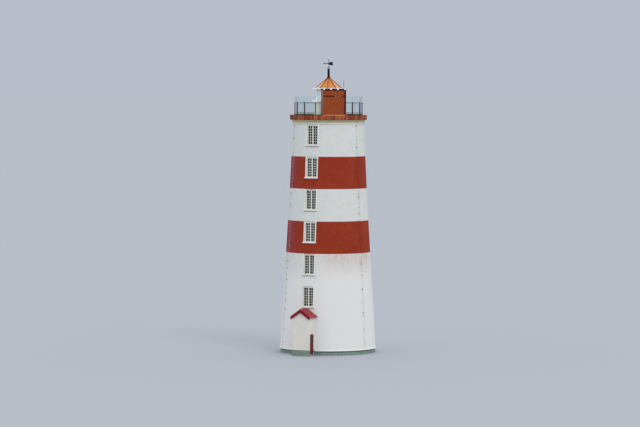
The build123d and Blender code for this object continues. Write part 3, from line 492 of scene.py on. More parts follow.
SLOT_LOOKS = {
    # Limewash and masonry paint: dead matt, so it keeps its colour at every angle
    "white_render": painted_masonry(
        "limewashed_masonry", "#cdd0d0", "#d6d7d2", "#a9aba2", extra=lit_foot_and_sill_shadows),
    "red_render": painted_masonry(
        "red_limewashed_masonry", "#8d2f1a", "#9b412a", "#672210", extra=flakes_and_sky_sheen),
    "plinth_stone": painted_masonry(
        "painted_plinth_stone", "#788b84", "#889a90", "#56594a", joint=0.5, patchy=0.5, streaky=0.2,
        joint_depth=0.010, stone=0.90, course=0.36, extra=drip_shadow_line),
    "white_surround_stone": painted_masonry(
        "painted_dressed_stone", "#dcddd8", "#e4e4de", "#b8b8ae", joint=0.10, patchy=0.3, streaky=0.08,
        joint_depth=0.002, stone=0.40, course=0.38),
    "cornice_stone": painted_masonry(
        "stone_colour_limewash", "#cfccbe", "#c8c4b4", "#9c9884", joint=0.10, patchy=0.3,
        joint_depth=0.002, extra=cove_colour),
    "deck_concrete": painted_masonry(
        "gallery_deck_screed", "#7d7a72", "#8b877c", "#5d5a54", joint=0.0, patchy=0.5, streaky=0.1,
        joint_depth=0.0),
    "porch_plinth_paint": painted_masonry(
        "painted_porch_base", "#74857a", "#849487", "#54584a", joint=0.3, patchy=0.5, streaky=0.2,
        stone=0.60, course=0.28),
    "porch_floor_concrete": painted_masonry(
        "trowelled_floor", "#8c8a82", "#9b988e", "#6b6962", joint=0.0, patchy=0.5, streaky=0.1,
        joint_depth=0.0),
    # Oil paint on pine: a low satin broken by the grain
    "floor_boards": painted_boards(
        "bare_pine_floor", "#96785a", "#846648", "#6b5239", along=(12, 1, 1), pitch=FLOOR_PITCH),
    "cream_painted_timber": painted_boards("white_painted_pine", "#e3e3dc", "#d9d8cd", "#aaa593"),
    "porch_wall_boards": painted_boards(
        "white_painted_boards", "#d8d6cf", "#cecbc3", "#a8a79c", pitch=BOARD_PITCH),
    "porch_bargeboard_paint": painted_boards("crimson_bargeboard_paint", "#7a0a16", "#861c28", "#3e0c12"),
    # The door's dark red is its own red with painted shade
    "door_paint": painted_boards("oxblood_door_paint", "#6e1a1e", "#7f2a2a", "#4f3a30"),
    # Oil paint on sheet and bar iron: smoother, with rust that bleeds from pits and laps
    "fascia_sheet": painted_metal(
        "red_brown_fascia_paint", "#90452a", "#9c5634", "#5a2416", rusty=0.4, rough=0.6,
        extra=board_tones_and_shade),
    "kerb_metal": painted_metal("dark_kerb_paint", "#2c1a12", "#3a251a", "#1e100b", rusty=0.5, rough=0.6),
    "gallery_iron": painted_metal(
        "dark_railing_paint", "#482434", "#583644", "#4d3026", size=0.2, extra=zinc_tops),
    "gallery_rail_paint": painted_metal(
        "grey_blue_rail_paint", "#7c92a2", "#8ea2ae", "#5f4c44", rusty=0.3, size=0.2, extra=pale_top_wire),
    "cabin_sheet": painted_metal(
        "rust_red_sheet_paint", "#8b3d19", "#964a24", "#6a2610", rough=0.6, size=0.7),
    "cabin_dark_metal": painted_metal(
        "dark_cabin_trim", "#2c100c", "#3a1812", "#1c0a07", rusty=0.4, rough=0.55, size=0.3),
    "cabin_flashing": painted_metal(
        "orange_flashing_paint", "#d8926c", "#dea07e", "#8a4a30", rough=0.55, size=0.3),
    "lantern_panel_paint": painted_metal(
        "sage_panel_enamel", "#e6eadb", "#ecefe4", "#aeb29c", rusty=0.18, rough=0.4, size=0.4, gleam=0.35),
    "white_painted_metal": painted_metal(
        "white_lantern_enamel", "#f9fbfa", "#f3f5f3", "#c6c0b4", rusty=0.08, rough=0.4, size=0.3,
        gleam=0.35),
    "lantern_roof_sheet": painted_metal(
        "orange_roof_enamel", "#c87a30", "#d48c44", "#a8602a", rusty=0.45, rough=0.34, gleam=0.4,
        extra=sky_sheen_sides),
    "lantern_rib_metal": painted_metal(
        "brown_hip_paint", "#8c4a26", "#9c5c34", "#62331a", rusty=0.4, size=0.3),
    "vent_iron": painted_metal(
        "black_vent_paint", "#12141f", "#1e2230", "#33231d", rusty=0.2, rough=0.45, size=0.2),
    "conductor_metal": painted_metal(
        "washed_over_conductor", "#6a5850", "#7c6c62", "#4c3028", rusty=0.25, rough=0.7, size=0.1,
        extra=washed_over),
    "porch_roof_sheet": painted_metal(
        "crimson_roof_paint", "#913237", "#a2494d", "#6a2226", rough=0.45, gleam=0.3),
    "door_ironwork": painted_metal("black_door_iron", "#2b2827", "#3c3836", "#4d3026", size=0.1),
    # Glass: the windows' dark glass is painted shade of the dark rooms behind, and the lantern, clear
    # through, has pale glass painted with the sky's light
    "clear_glass": drawn_glass("drawn_window_glass", "#2a2f2c", "#0f1012", 0.94),
    "lantern_pane_glass": drawn_glass("lantern_pane_glass", "#e6f8f6", "#daf2f3", 0.66),
}

# Finishes of single nodes and pieces, each a variant of its slot's
WASHED_WHITE = painted_masonry(
    "stained_limewashed_masonry", "#cccdcb", "#d6d4ce", "#aaa69c", joint=0.10, extra=pink_wash_and_lit_foot)
# The cabin's sides are a shaded copy of its sheet: painted shade with a purple-grey painted sheen of the
# sky
CABIN_SIDE = painted_metal(
    "shaded_cabin_sheet", "#86625f", "#946f6c", "#66443c", rusty=0.3, rough=0.6, size=0.7)
GALVANISED = painted_metal(
    "galvanised_netting_wire", "#74bccb", "#8cced9", "#86948e", rusty=0.2, size=0.1, gleam=0.3,
    extra=violet_shade_ends)
NODE_LOOKS = {"storey_2_wall": WASHED_WHITE, "cabin_side_walls": CABIN_SIDE,
              "conductor_clips": SLOT_LOOKS["door_ironwork"], "cabin_seam": SLOT_LOOKS["cabin_dark_metal"]}
SLOT_OF = {part["node"]: part["material_slot"] for part in frame["record"]["subparts"]}


def finish_in(piece, slot, look=None):
    """Gives a piece the look of a material slot, or its own variant."""
    piece.data.materials.clear()
    piece.data.materials.append(look or SLOT_LOOKS[slot])


for node_name, node_object in frame["nodes"].items():
    finish_in(node_object, SLOT_OF[node_name], NODE_LOOKS.get(node_name))


# Solids that the pieces are made of. A place is a turn, and for some pieces a move too.
def object_of(name, data):
    """Puts an object into the scene."""
    made = bpy.data.objects.new(name, data)
    bpy.context.scene.collection.objects.link(made)
    return made


def piece_of(name, mesh, slot, body="lighthouse", look=None):
    """Turns a bmesh into a named piece that rides on a body."""
    bmesh.ops.recalc_face_normals(mesh, faces=mesh.faces)
    data = bpy.data.meshes.new(name)
    mesh.to_mesh(data)
    mesh.free()
    piece = object_of(name, data)
    finish_in(piece, slot, look)
    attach(piece, body)


def loft_between(mesh, first, second):
    """Adds a closed solid between two rings of points with as many corners."""
    lower = [mesh.verts.new(point) for point in first]
    upper = [mesh.verts.new(point) for point in second]
    mesh.faces.new(lower)
    mesh.faces.new(list(reversed(upper)))
    for index, vert in enumerate(lower):
        after = (index + 1) % len(lower)
        mesh.faces.new((vert, lower[after], upper[after], upper[index]))


def block(mesh, place, x_range, y_range, z_range):
    """Adds a bar with square ends, between two values along each axis of a place."""
    (x0, x1), (y0, y1) = x_range, y_range
    outline = ((x0, y0), (x1, y0), (x1, y1), (x0, y1))
    loft_between(mesh, *[[place @ Vector((x, y, z)) for x, y in outline] for z in z_range])


def strip(mesh, place, x_range, face, proud, z_range, bevel):
    """Adds an upright strip on a face that looks along -Y, with its front edges bevelled."""
    x0, x1 = x_range
    outline = [(x0, -face), (x1, -face), (x1, -face - proud + bevel), (x1 - bevel, -face - proud),
               (x0 + bevel, -face - proud), (x0, -face - proud + bevel)]
    loft_between(mesh, *[[place @ Vector((x, y, z)) for x, y in outline] for z in z_range])


def rod(mesh, start, end, radius, sides=6):
    """Adds a round bar between two points."""
    start, end = Vector(start), Vector(end)
    spin = (end - start).to_track_quat("Z", "Y").to_matrix()
    angles = [2 * math.pi * step / sides for step in range(sides)]
    section = [spin @ Vector((radius * math.cos(a), radius * math.sin(a), 0)) for a in angles]
    loft_between(mesh, *[[centre + point for point in section] for centre in (start, end)])


def bolt_head(mesh, base, out, radius, height):
    """Adds a hexagonal bolt head that stands on a surface, with its smaller crown."""
    base, out = Vector(base), Vector(out).normalized()
    rod(mesh, base, base + out * height * 0.7, radius)
    rod(mesh, base + out * height * 0.7, base + out * height, radius * 0.78)


UNTURNED = Matrix.Identity(4)

# How far a fitting is let into what carries it. A bolt or rivet is given by its radius and height.
LET_IN = 0.001

# Windows: each casement has two columns of seven panes, with a moulding round them and hinges
PANE_COLUMNS = 2
PANE_ROWS = 7
BAR_WIDTH = 0.034
BAR_NOSE = 0.014
BAR_DEPTH = 0.022
BEAD_HALF = 0.016
BEAD_PROUD = 0.014
BEAD_BELOW = 0.05
BEAD_ABOVE = 0.10
MOULD_WIDTH = 0.018
MOULD_PROUD = 0.010
MOULD_MARGIN = 0.012
MOULD_SIDE_MARGIN = 0.022
HINGE_MARGIN = 0.036
HINGE_INSET = 0.22
HINGE_HALF = 0.045
HINGE_RADIUS = 0.008


def window_lights():
    """Of each window: its place, the plane of its frame's front, and the foot and head of its lights."""
    for storey in range(1, STOREYS):
        base = PLINTH + STOREY * storey
        front = wall_radius(base + STOREY) - FRAME_SETBACK
        for azimuth in (0, 180):
            yield turned(azimuth), front, base + LIGHT_BOTTOM, base + LIGHT_TOP


def bar_profile():
    """Section of a glazing bar, narrower at its nose than at the glass."""
    half, nose, shoulder = BAR_WIDTH / 2, BAR_NOSE / 2, -BAR_DEPTH * 0.35
    return [(-half, 0), (half, 0), (half * 0.8, shoulder), (nose, -BAR_DEPTH), (-nose, -BAR_DEPTH),
            (-half * 0.8, shoulder)]


def window_bars():
    """Glazing bars on both faces of each casement's glass, upright ones first."""
    mesh = bmesh.new()
    profile = bar_profile()
    for place, frame_front, low, high in window_lights():
        for side in (-1, 1):
            inner, outer = side * LIGHT_INNER, side * LIGHT_OUTER
            for face in (-1, 1):
                front = -(frame_front - FRAME_DEPTH / 2) + face * GLASS_HALF
                for column in range(1, PANE_COLUMNS):
                    x = inner + (outer - inner) * column / PANE_COLUMNS
                    loft_between(mesh, *[[place @ Vector((x + u, front - face * v, z)) for u, v in profile]
                                         for z in (low, high)])
                for row in range(1, PANE_ROWS):
                    z = low + (high - low) * row / PANE_ROWS
                    loft_between(mesh, *[[place @ Vector((x, front - face * v, z + u)) for u, v in profile]
                                         for x in (inner, outer)])
    piece_of("window_bars", mesh, "cream_painted_timber")


def casement_mouldings():
    """Raised moulding round each casement, the bead down the meeting stiles, and the hinges."""
    mouldings = bmesh.new()
    hinges = bmesh.new()
    for place, front, low, high in window_lights():
        strip(mouldings, place, (-BEAD_HALF, BEAD_HALF), front, BEAD_PROUD,
              (low - BEAD_BELOW, high + BEAD_ABOVE), bevel=0.006)
        foot, head = low - MOULD_MARGIN, high + MOULD_MARGIN
        for side in (-1, 1):
            inner, outer = sorted((side * (LIGHT_INNER - MOULD_MARGIN),
                                   side * (LIGHT_OUTER + MOULD_SIDE_MARGIN)))
            for x0, x1 in ((inner, inner + MOULD_WIDTH), (outer - MOULD_WIDTH, outer)):
                strip(mouldings, place, (x0, x1), front, MOULD_PROUD, (foot, head), bevel=0.005)
            for z in (foot, head):
                block(mouldings, place, (inner + MOULD_WIDTH, outer - MOULD_WIDTH),
                      (-front - MOULD_PROUD, -front), (z - MOULD_WIDTH / 2, z + MOULD_WIDTH / 2))
            for z in (low + HINGE_INSET, high - HINGE_INSET):
                x, y = side * (LIGHT_OUTER + HINGE_MARGIN), -front - HINGE_RADIUS
                rod(hinges, place @ Vector((x, y, z - HINGE_HALF)), place @ Vector((x, y, z + HINGE_HALF)),
                    HINGE_RADIUS, 8)
    piece_of("casement_mouldings", mouldings, "cream_painted_timber")
    piece_of("casement_hinges", hinges, "door_ironwork")


window_bars()
casement_mouldings()

# Gallery: boards and bolts round the fascia, netting and toe boards in the railing, post fittings
BOARD_GAP = 0.016
BOARD_PROUD = 0.010
BOLT_EVERY = 4
FASCIA_BOLT = (0.016, 0.012)
NET_SPACING = 0.050
NET_CLEARANCE = 0.004
WIRE = 0.0020
TOP_WIRE = 0.0013
TOE_BOARD = (DECK_TOP + 0.118, DECK_TOP + 0.192)
TOE_BOARD_THICKNESS = 0.008
POST_BOLT = (0.007, 0.008)
CLAMP_HALF = 0.030
CLAMP_PROUD = 0.008


def fascia_boards():
    """Narrow upright boards all round the fascia, with a bolt at the head and foot of every fourth."""
    boards = bmesh.new()
    bolts = bmesh.new()
    step = 360 / BOARD_COUNT
    half = math.pi * FASCIA_RADIUS / BOARD_COUNT - BOARD_GAP / 2
    chord = FASCIA_RADIUS * math.cos(math.radians(step / 2)) - LET_IN
    for index in range(BOARD_COUNT):
        strip(boards, turned(step * index), (-half, half), chord, BOARD_PROUD,
              (FASCIA_BOTTOM + 0.006, DECK_TOP - 0.004), bevel=0.006)
    for index in range(0, BOARD_COUNT, BOLT_EVERY):
        place = turned(step * index)
        for z in (FASCIA_BOTTOM + 0.07, DECK_TOP - 0.06):
            start = place @ Vector((0, -chord - BOARD_PROUD + LET_IN, z))
            bolt_head(bolts, start, place @ Vector((0, -1, 0)), *FASCIA_BOLT)
    piece_of("fascia_boards", boards, "fascia_sheet")
    piece_of("fascia_bolts", bolts, "kerb_metal")


def gallery_netting():
    """Welded wire netting on the inner side of the railing up to the wire rail, and toe boards."""
    netting = bmesh.new()
    boards = bmesh.new()
    step = 360 / POST_COUNT
    chord = RAIL_RADIUS * math.cos(math.radians(step / 2)) - RAIL_HALF - WIRE
    half = RAIL_RADIUS * math.sin(math.radians(step / 2)) - POST_HALF - NET_CLEARANCE
    columns = round(2 * half / NET_SPACING)
    for index in range(FIRST_POST, LAST_POST):
        place = turned(POST_AZIMUTH + step * (index + 0.5))
        for low, high, wire in ((KERB_TOP + 0.010, RAILING_TOP, WIRE),
                                (RAILING_TOP, WIRE_RAIL + 0.006, TOP_WIRE)):
            for column in range(columns + 1):
                x = -half + 2 * half * column / columns
                rod(netting, place @ Vector((x, -chord, low)), place @ Vector((x, -chord, high)), wire, 4)
            rows = round((high - low) / NET_SPACING)
            for row in range(1, rows + 1):
                z = low + (high - low) * row / rows - wire
                y = -chord + 1.6 * wire
                rod(netting, place @ Vector((-half, y, z)), place @ Vector((half, y, z)), wire, 4)
        strip(boards, place, (-half + 0.002, half - 0.002), chord - 0.012, TOE_BOARD_THICKNESS,
              TOE_BOARD, bevel=0.003)
    piece_of("gallery_netting", netting, "gallery_rail_paint", look=GALVANISED)
    piece_of("gallery_toe_boards", boards, "cream_painted_timber")


def post_fittings():
    """Bolts through the foot of each post, and the clamps that hold the rails to it."""
    mesh = bmesh.new()
    reach = POST_FOOT_HALF - 0.007
    clamp = POST_HALF + CLAMP_PROUD
    for index in range(FIRST_POST, LAST_POST + 1):
        place = turned(POST_AZIMUTH + 360 / POST_COUNT * index)
        for x in (-reach, reach):
            for y in (-reach, reach):
                start = place @ Vector((x, y - RAIL_RADIUS, POST_FOOT_TOP - LET_IN))
                bolt_head(mesh, start, (0, 0, 1), *POST_BOLT)
        for z in RAIL_HEIGHTS:
            block(mesh, place, (-clamp, clamp), (-RAIL_RADIUS - clamp, -RAIL_RADIUS + clamp),
                  (z - CLAMP_HALF, z + CLAMP_HALF))
    piece_of("post_fittings", mesh, "gallery_iron")


fascia_boards()
gallery_netting()
post_fittings()

# Cabin: a corner board, sheet joints with rivets, clips over the roof edge, straps and laps
CABIN_PLACE = turned(CABIN_AZIMUTH)
CORNER_WIDTH = 0.165
CORNER_PROUD = 0.008
FRONT_JOINTS = (-0.36, 0.30)
SIDE_JOINT = 0.02
JOINT_HALF = 0.022
JOINT_PROUD = 0.004
JOINT_RIVET = (0.007, 0.005)
JOINT_RIVETS = 14
JOINT_RIVET_PITCH = 0.12
SEAM_RIVET = (0.009, 0.006)
SEAM_RIVETS = 15
SEAM_RIVET_PITCH = 0.14
CLIPS = (-1.02, -0.36, 0.30, 0.97)
CLIP_HALF = 0.075
CLIP_THICKNESS = 0.012
STRAPS = (0.08, 0.32, 0.52)
STRAP_HALF = 0.032
STRAP_PROUD = 0.014


def cabin_sheeting():
    """The corner board, broken by the seam, and the cover strips over the joints of the sheets."""
    upper = (CABIN_SEAM + CABIN_SEAM_HALF, CABIN_EAVE - 0.002)
    lower = (CABIN_FLASHING_TOP, CABIN_SEAM - CABIN_SEAM_HALF)
    corner = bmesh.new()
    for heights in (lower, upper):
        strip(corner, CABIN_PLACE, (CABIN_HALF - CORNER_WIDTH, CABIN_HALF + 0.006), CABIN_FRONT,
              CORNER_PROUD, heights, bevel=0.004)
    piece_of("cabin_corner_board", corner, "cabin_dark_metal")
    joints = bmesh.new()
    for x in FRONT_JOINTS:
        strip(joints, CABIN_PLACE, (x - JOINT_HALF, x + JOINT_HALF), CABIN_FRONT, JOINT_PROUD,
              lower, bevel=0.002)
    centre = CABIN_PLACE @ Vector((0, -(CABIN_FRONT + CABIN_BACK) / 2, 0))
    for azimuth in (CABIN_AZIMUTH + 90, CABIN_AZIMUTH + 270):
        side = Matrix.Translation(centre) @ turned(azimuth)
        strip(joints, side, (SIDE_JOINT - JOINT_HALF, SIDE_JOINT + JOINT_HALF), CABIN_HALF,
              JOINT_PROUD, (DECK_TOP + 0.004, CABIN_EAVE - 0.002), bevel=0.002)
    piece_of("cabin_sheet_joints", joints, "cabin_sheet")


def cabin_rivets():
    """Rivets down the joints of the front sheets and along the seam."""
    mesh = bmesh.new()
    out = CABIN_PLACE @ Vector((0, -1, 0))
    for x in FRONT_JOINTS:
        for row in range(JOINT_RIVETS):
            z = DECK_TOP + 0.16 + JOINT_RIVET_PITCH * row
            start = CABIN_PLACE @ Vector((x, -CABIN_FRONT - JOINT_PROUD + LET_IN, z))
            bolt_head(mesh, start, out, *JOINT_RIVET)
    for index in range(SEAM_RIVETS):
        x = -CABIN_HALF + 0.06 + SEAM_RIVET_PITCH * index
        start = CABIN_PLACE @ Vector((x, -CABIN_SEAM_FACE + LET_IN, CABIN_SEAM))
        bolt_head(mesh, start, out, *SEAM_RIVET)
    piece_of("cabin_rivets", mesh, "cabin_dark_metal")


def cabin_fastenings():
    """Clips bent over the roof's edge, straps across the seam, and laps at the seam and the eave."""
    clips = bmesh.new()
    edge = -CABIN_FRONT - CABIN_ROOF_REACH + 0.002
    for x in CLIPS:
        width = (x - CLIP_HALF, x + CLIP_HALF)
        block(clips, CABIN_PLACE, width, (-CABIN_FRONT - CABIN_ROOF_REACH - 0.014, edge),
              (CABIN_EAVE - 0.008, CABIN_TOP + CLIP_THICKNESS))
        block(clips, CABIN_PLACE, width, (edge, -CABIN_FRONT + 0.060),
              (CABIN_TOP, CABIN_TOP + CLIP_THICKNESS))
    piece_of("cabin_clips", clips, "white_painted_metal")
    straps = bmesh.new()
    for x in STRAPS:
        block(straps, CABIN_PLACE, (x - STRAP_HALF, x + STRAP_HALF),
              (-CABIN_SEAM_FACE - STRAP_PROUD, -CABIN_SEAM_FACE + LET_IN),
              (CABIN_SEAM - 0.050, CABIN_SEAM + 0.050))
    piece_of("cabin_straps", straps, "cabin_flashing")
    laps = bmesh.new()
    # The dark lap along the eave also stands for the painted shadow of the lantern's eave over the cabin's
    # top
    for low, high, proud in ((CABIN_SEAM - 0.045, CABIN_SEAM + 0.045, 0.028),
                             (CABIN_EAVE - 0.080, CABIN_EAVE - 0.002, 0.024)):
        strip(laps, CABIN_PLACE, (-CABIN_HALF + 0.012, CABIN_HALF - 0.012), CABIN_FRONT, proud,
              (low, high), bevel=0.010)
    piece_of("cabin_laps", laps, "cabin_dark_metal")


cabin_sheeting()
cabin_rivets()
cabin_fastenings()

# Conductors: the azimuth of each, and the heights of its stays
STAY_HEIGHTS = {
    LEFT_CONDUCTOR: (21.51, 20.33, 17.30, 14.05, 11.40, 8.71, 8.02, 6.94, 5.67, 5.06, 4.15),
    76.6: (21.51, 19.51, 17.10, 14.85, 13.28, 10.90, 8.50, 6.10, 3.90),
    196.6: (21.51, 19.50, 17.10, 14.80, 12.50, 10.20, 7.90, 5.60, 3.30),
}
STAY_PLATE = 0.055
STAY_PLATE_THICKNESS = 0.020
STUD_LENGTH = 0.070
STUD_RADIUS = 0.014
STAY_BOLT = (0.009, 0.009)
STAY_BOLTS = ((-0.034, 0), (0.034, 0), (0, 0.034), (0, -0.034))


def conductor_stays():
    """Round iron plates bolted to the wall, each with a stud that holds the conductor off it."""
    mesh = bmesh.new()
    for azimuth, heights in STAY_HEIGHTS.items():
        place = turned(azimuth)
        out = place @ Vector((0, -1, 0))
        for z in heights:
            near = wall_radius(z) - 3 * LET_IN
            plate = place @ Vector((0, -near, z))
            rod(mesh, plate, plate + out * STAY_PLATE_THICKNESS, STAY_PLATE, 20)
            rod(mesh, plate + out * STAY_PLATE_THICKNESS, plate + out * STUD_LENGTH, STUD_RADIUS, 10)
            for x, up in STAY_BOLTS:
                start = place @ Vector((x, -near - STAY_PLATE_THICKNESS + LET_IN, z + up))
                bolt_head(mesh, start, out, *STAY_BOLT)
    piece_of("conductor_stays", mesh, "door_ironwork")


conductor_stays()

# Lantern: framed panels with rivets, the lip of the eave, seams on the roof, and bands on the vent
STILE_WIDTH = 0.045
FOOT_RAIL = 0.070
HEAD_RAIL = 0.055
PANEL_PROUD = 0.007
PANEL_RIVET = (0.006, 0.005)
PANEL_RIVETS = 11
PANEL_RIVET_PITCH = 0.11
SEAM_HALF = 0.011
SEAM_LAP = 0.020
BAND_HALF = 0.018


def lantern_faces():
    """Places of the lantern's faces."""
    step = 360 / LANTERN_SIDES
    return [turned(LANTERN_AZIMUTH + step * (index + 0.5)) for index in range(LANTERN_SIDES)]


def lantern_panels():
    """A frame of flat strips on each wall panel, with rivets down its stiles."""
    frames = bmesh.new()
    rivets = bmesh.new()
    face = LANTERN_WALL * math.cos(LANTERN_HALF_STEP)
    half = LANTERN_WALL * math.sin(LANTERN_HALF_STEP) - LANTERN_POST - 0.004
    low, high = DECK_TOP + 0.004, LANTERN_WALL_TOP - 0.004
    for place in lantern_faces():
        for x0, x1 in ((-half, -half + STILE_WIDTH), (half - STILE_WIDTH, half)):
            strip(frames, place, (x0, x1), face, PANEL_PROUD, (low, high), bevel=0.003)
        for z0, z1 in ((low, low + FOOT_RAIL), (high - HEAD_RAIL, high)):
            strip(frames, place, (-half + STILE_WIDTH, half - STILE_WIDTH), face, PANEL_PROUD,
                  (z0, z1), bevel=0.003)
        out = place @ Vector((0, -1, 0))
        for row in range(PANEL_RIVETS):
            for x in (-half + 0.022, half - 0.022):
                z = low + 0.06 + PANEL_RIVET_PITCH * row
                start = place @ Vector((x, -face - PANEL_PROUD + LET_IN / 2, z))
                bolt_head(rivets, start, out, *PANEL_RIVET)
    piece_of("lantern_panel_frames", frames, "lantern_panel_paint")
    piece_of("lantern_rivets", rivets, "white_painted_metal")


def lantern_eave_lip():
    """A narrow lip along the edge of the eave."""
    mesh = bmesh.new()
    apothem = LANTERN_EAVE * math.cos(LANTERN_HALF_STEP)
    reach = apothem * math.tan(LANTERN_HALF_STEP)
    for place in lantern_faces():
        block(mesh, place, (-reach, reach), (-apothem - 0.012, -apothem + 0.004),
              (LANTERN_EAVE_TOP - 0.030, LANTERN_EAVE_TOP + 0.014))
    piece_of("lantern_eave_lip", mesh, "white_painted_metal")


def lantern_roof_seams():
    """A flat lapped seam up the middle of each face, narrower towards the vent. Its lap lies down the
    slope, so it hardly stands off the sheet."""
    mesh = bmesh.new()
    foot = LANTERN_ROOF * math.cos(LANTERN_HALF_STEP)
    rise = LANTERN_APEX - LANTERN_EAVE_TOP
    start = Vector((0, -foot + 0.012, LANTERN_EAVE_TOP + 0.010))
    end = Vector((0, -foot * 0.24, LANTERN_EAVE_TOP + 0.010 + rise * 0.76))
    across = Vector((SEAM_HALF, 0, 0))
    lap = Vector((0, -rise, -foot)).normalized() * SEAM_LAP
    for place in lantern_faces():
        rings = []
        for centre, base, edge in ((start, 1.0, 0.6), (end, 0.6, 0.4)):
            corners = (centre - across * base, centre + across * base, centre + across * edge + lap,
                       centre - across * edge + lap)
            rings.append([place @ corner for corner in corners])
        loft_between(mesh, *rings)
    piece_of("lantern_roof_seams", mesh, "lantern_roof_sheet")


def vent_bands():
    """Bands round the vent stack at its foot, middle and head."""
    mesh = bmesh.new()
    for z in (LANTERN_APEX + 0.06, (LANTERN_APEX + VENT_TOP) / 2, VENT_TOP - 0.05):
        rod(mesh, (0, 0, z - BAND_HALF), (0, 0, z + BAND_HALF), VENT_RADIUS + 0.007, 32)
    piece_of("vent_bands", mesh, "vent_iron")


lantern_panels()
lantern_eave_lip()
lantern_roof_seams()
vent_bands()

# Porch: corner and base boards, roof seams, and the door's bars, kick plate and panel moulding
CORNER_BOARD = 0.085
CORNER_BOARD_PROUD = 0.014
BASE_BOARD = 0.110
BASE_BOARD_PROUD = 0.012
SEAM_PITCH = 0.310
ROOF_SEAM_HALF = 0.010
ROOF_SEAM_CREST = 0.007
ROOF_SEAM_RISE = 0.024
DOOR_BAR_HALF = 0.010
DOOR_BAR_DEPTH = 0.014
KICK_PLATE = (0.02, 0.15)
KICK_PLATE_SIDE = 0.03
KICK_PLATE_PROUD = 0.002
PLATE_SCREW = (0.006, 0.003)
DOOR_MOULDING = 0.016
DOOR_MOULDING_PROUD = 0.009
GLASS_LOW, GLASS_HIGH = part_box("porch_door_glass")
LEAF_LOW, LEAF_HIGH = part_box("porch_door_leaf")
DOOR_MIDDLE = (GLASS_LOW[0] + GLASS_HIGH[0]) / 2


def porch_boards():
    """Boards at the two corners of the gable wall, and the base board between them."""
    mesh = bmesh.new()
    for x0, x1 in ((-PORCH_HALF - CORNER_BOARD_PROUD, -PORCH_HALF + CORNER_BOARD),
                   (PORCH_HALF - CORNER_BOARD, PORCH_HALF + CORNER_BOARD_PROUD)):
        strip(mesh, UNTURNED, (x0, x1), PORCH_FRONT, CORNER_BOARD_PROUD,
              (PORCH_BASE, PORCH_EAVE - 0.05), bevel=0.005)
    strip(mesh, UNTURNED, (-PORCH_HALF + CORNER_BOARD, PORCH_HALF - CORNER_BOARD), PORCH_FRONT,
          BASE_BOARD_PROUD, (PORCH_BASE, PORCH_BASE + BASE_BOARD), bevel=0.004)
    piece_of("porch_corner_boards", mesh, "porch_wall_boards")


def porch_roof_seams():
    """Standing seams down both slopes of the porch roof, from the ridge cap to the eaves."""
    mesh = bmesh.new()
    near = wall_radius(PORCH_RIDGE) + 0.02
    count = int((PORCH_VERGE - near) / SEAM_PITCH)
    down = Vector((math.cos(PORCH_PITCH), 0, -math.sin(PORCH_PITCH)))
    out = Vector((math.sin(PORCH_PITCH), 0, math.cos(PORCH_PITCH))) * ROOF_SEAM_RISE
    base, crest = Vector((0, ROOF_SEAM_HALF, 0)), Vector((0, ROOF_SEAM_CREST, 0))
    length = PORCH_ROOF_HALF / math.cos(PORCH_PITCH)
    for side in (-1, 1):
        mirror = Matrix.Scale(side, 4, (1, 0, 0))
        for index in range(count + 1):
            y = -PORCH_VERGE + 0.015 + (PORCH_VERGE - near - 0.03) * index / count
            rings = []
            for along in (0.075, length - 0.004):
                foot = Vector((0, y, PORCH_ROOF_TOP)) + down * along
                corners = (foot - base, foot + base, foot + crest + out, foot - crest + out)
                rings.append([mirror @ corner for corner in corners])
            loft_between(mesh, *rings)
    piece_of("porch_roof_seams", mesh, "porch_roof_sheet")


def door_bars():
    """Glazing bars on both faces of the door's glass: one upright and two across."""
    mesh = bmesh.new()
    centre = (GLASS_LOW[1] + GLASS_HIGH[1]) / 2
    for side in (-1, 1):
        near = DOOR_MIDDLE + side * GLASS_HALF
        depth = sorted((near, near + side * DOOR_BAR_DEPTH))
        block(mesh, UNTURNED, depth, (centre - DOOR_BAR_HALF, centre + DOOR_BAR_HALF),
              (GLASS_LOW[2], GLASS_HIGH[2]))
        for share in (1 / 3, 2 / 3):
            z = GLASS_LOW[2] + (GLASS_HIGH[2] - GLASS_LOW[2]) * share
            block(mesh, UNTURNED, depth, (GLASS_LOW[1], GLASS_HIGH[1]),
                  (z - DOOR_BAR_HALF, z + DOOR_BAR_HALF))
    piece_of("door_glazing_bars", mesh, "door_paint", "porch_door")


def door_kick_plate():
    """Iron plate across the foot of the leaf, with a screw at each corner."""
    mesh = bmesh.new()
    face = LEAF_HIGH[0]
    low, high = LEAF_LOW[2] + KICK_PLATE[0], LEAF_LOW[2] + KICK_PLATE[1]
    block(mesh, UNTURNED, (face - LET_IN, face + KICK_PLATE_PROUD),
          (LEAF_LOW[1] + KICK_PLATE_SIDE, LEAF_HIGH[1] - KICK_PLATE_SIDE), (low, high))
    for y in (LEAF_LOW[1] + KICK_PLATE_SIDE + 0.02, LEAF_HIGH[1] - KICK_PLATE_SIDE - 0.02):
        for z in (low + 0.02, high - 0.02):
            bolt_head(mesh, (face + KICK_PLATE_PROUD - LET_IN / 2, y, z), (1, 0, 0), *PLATE_SCREW)
    piece_of("door_kick_plate", mesh, "door_ironwork", "porch_door")


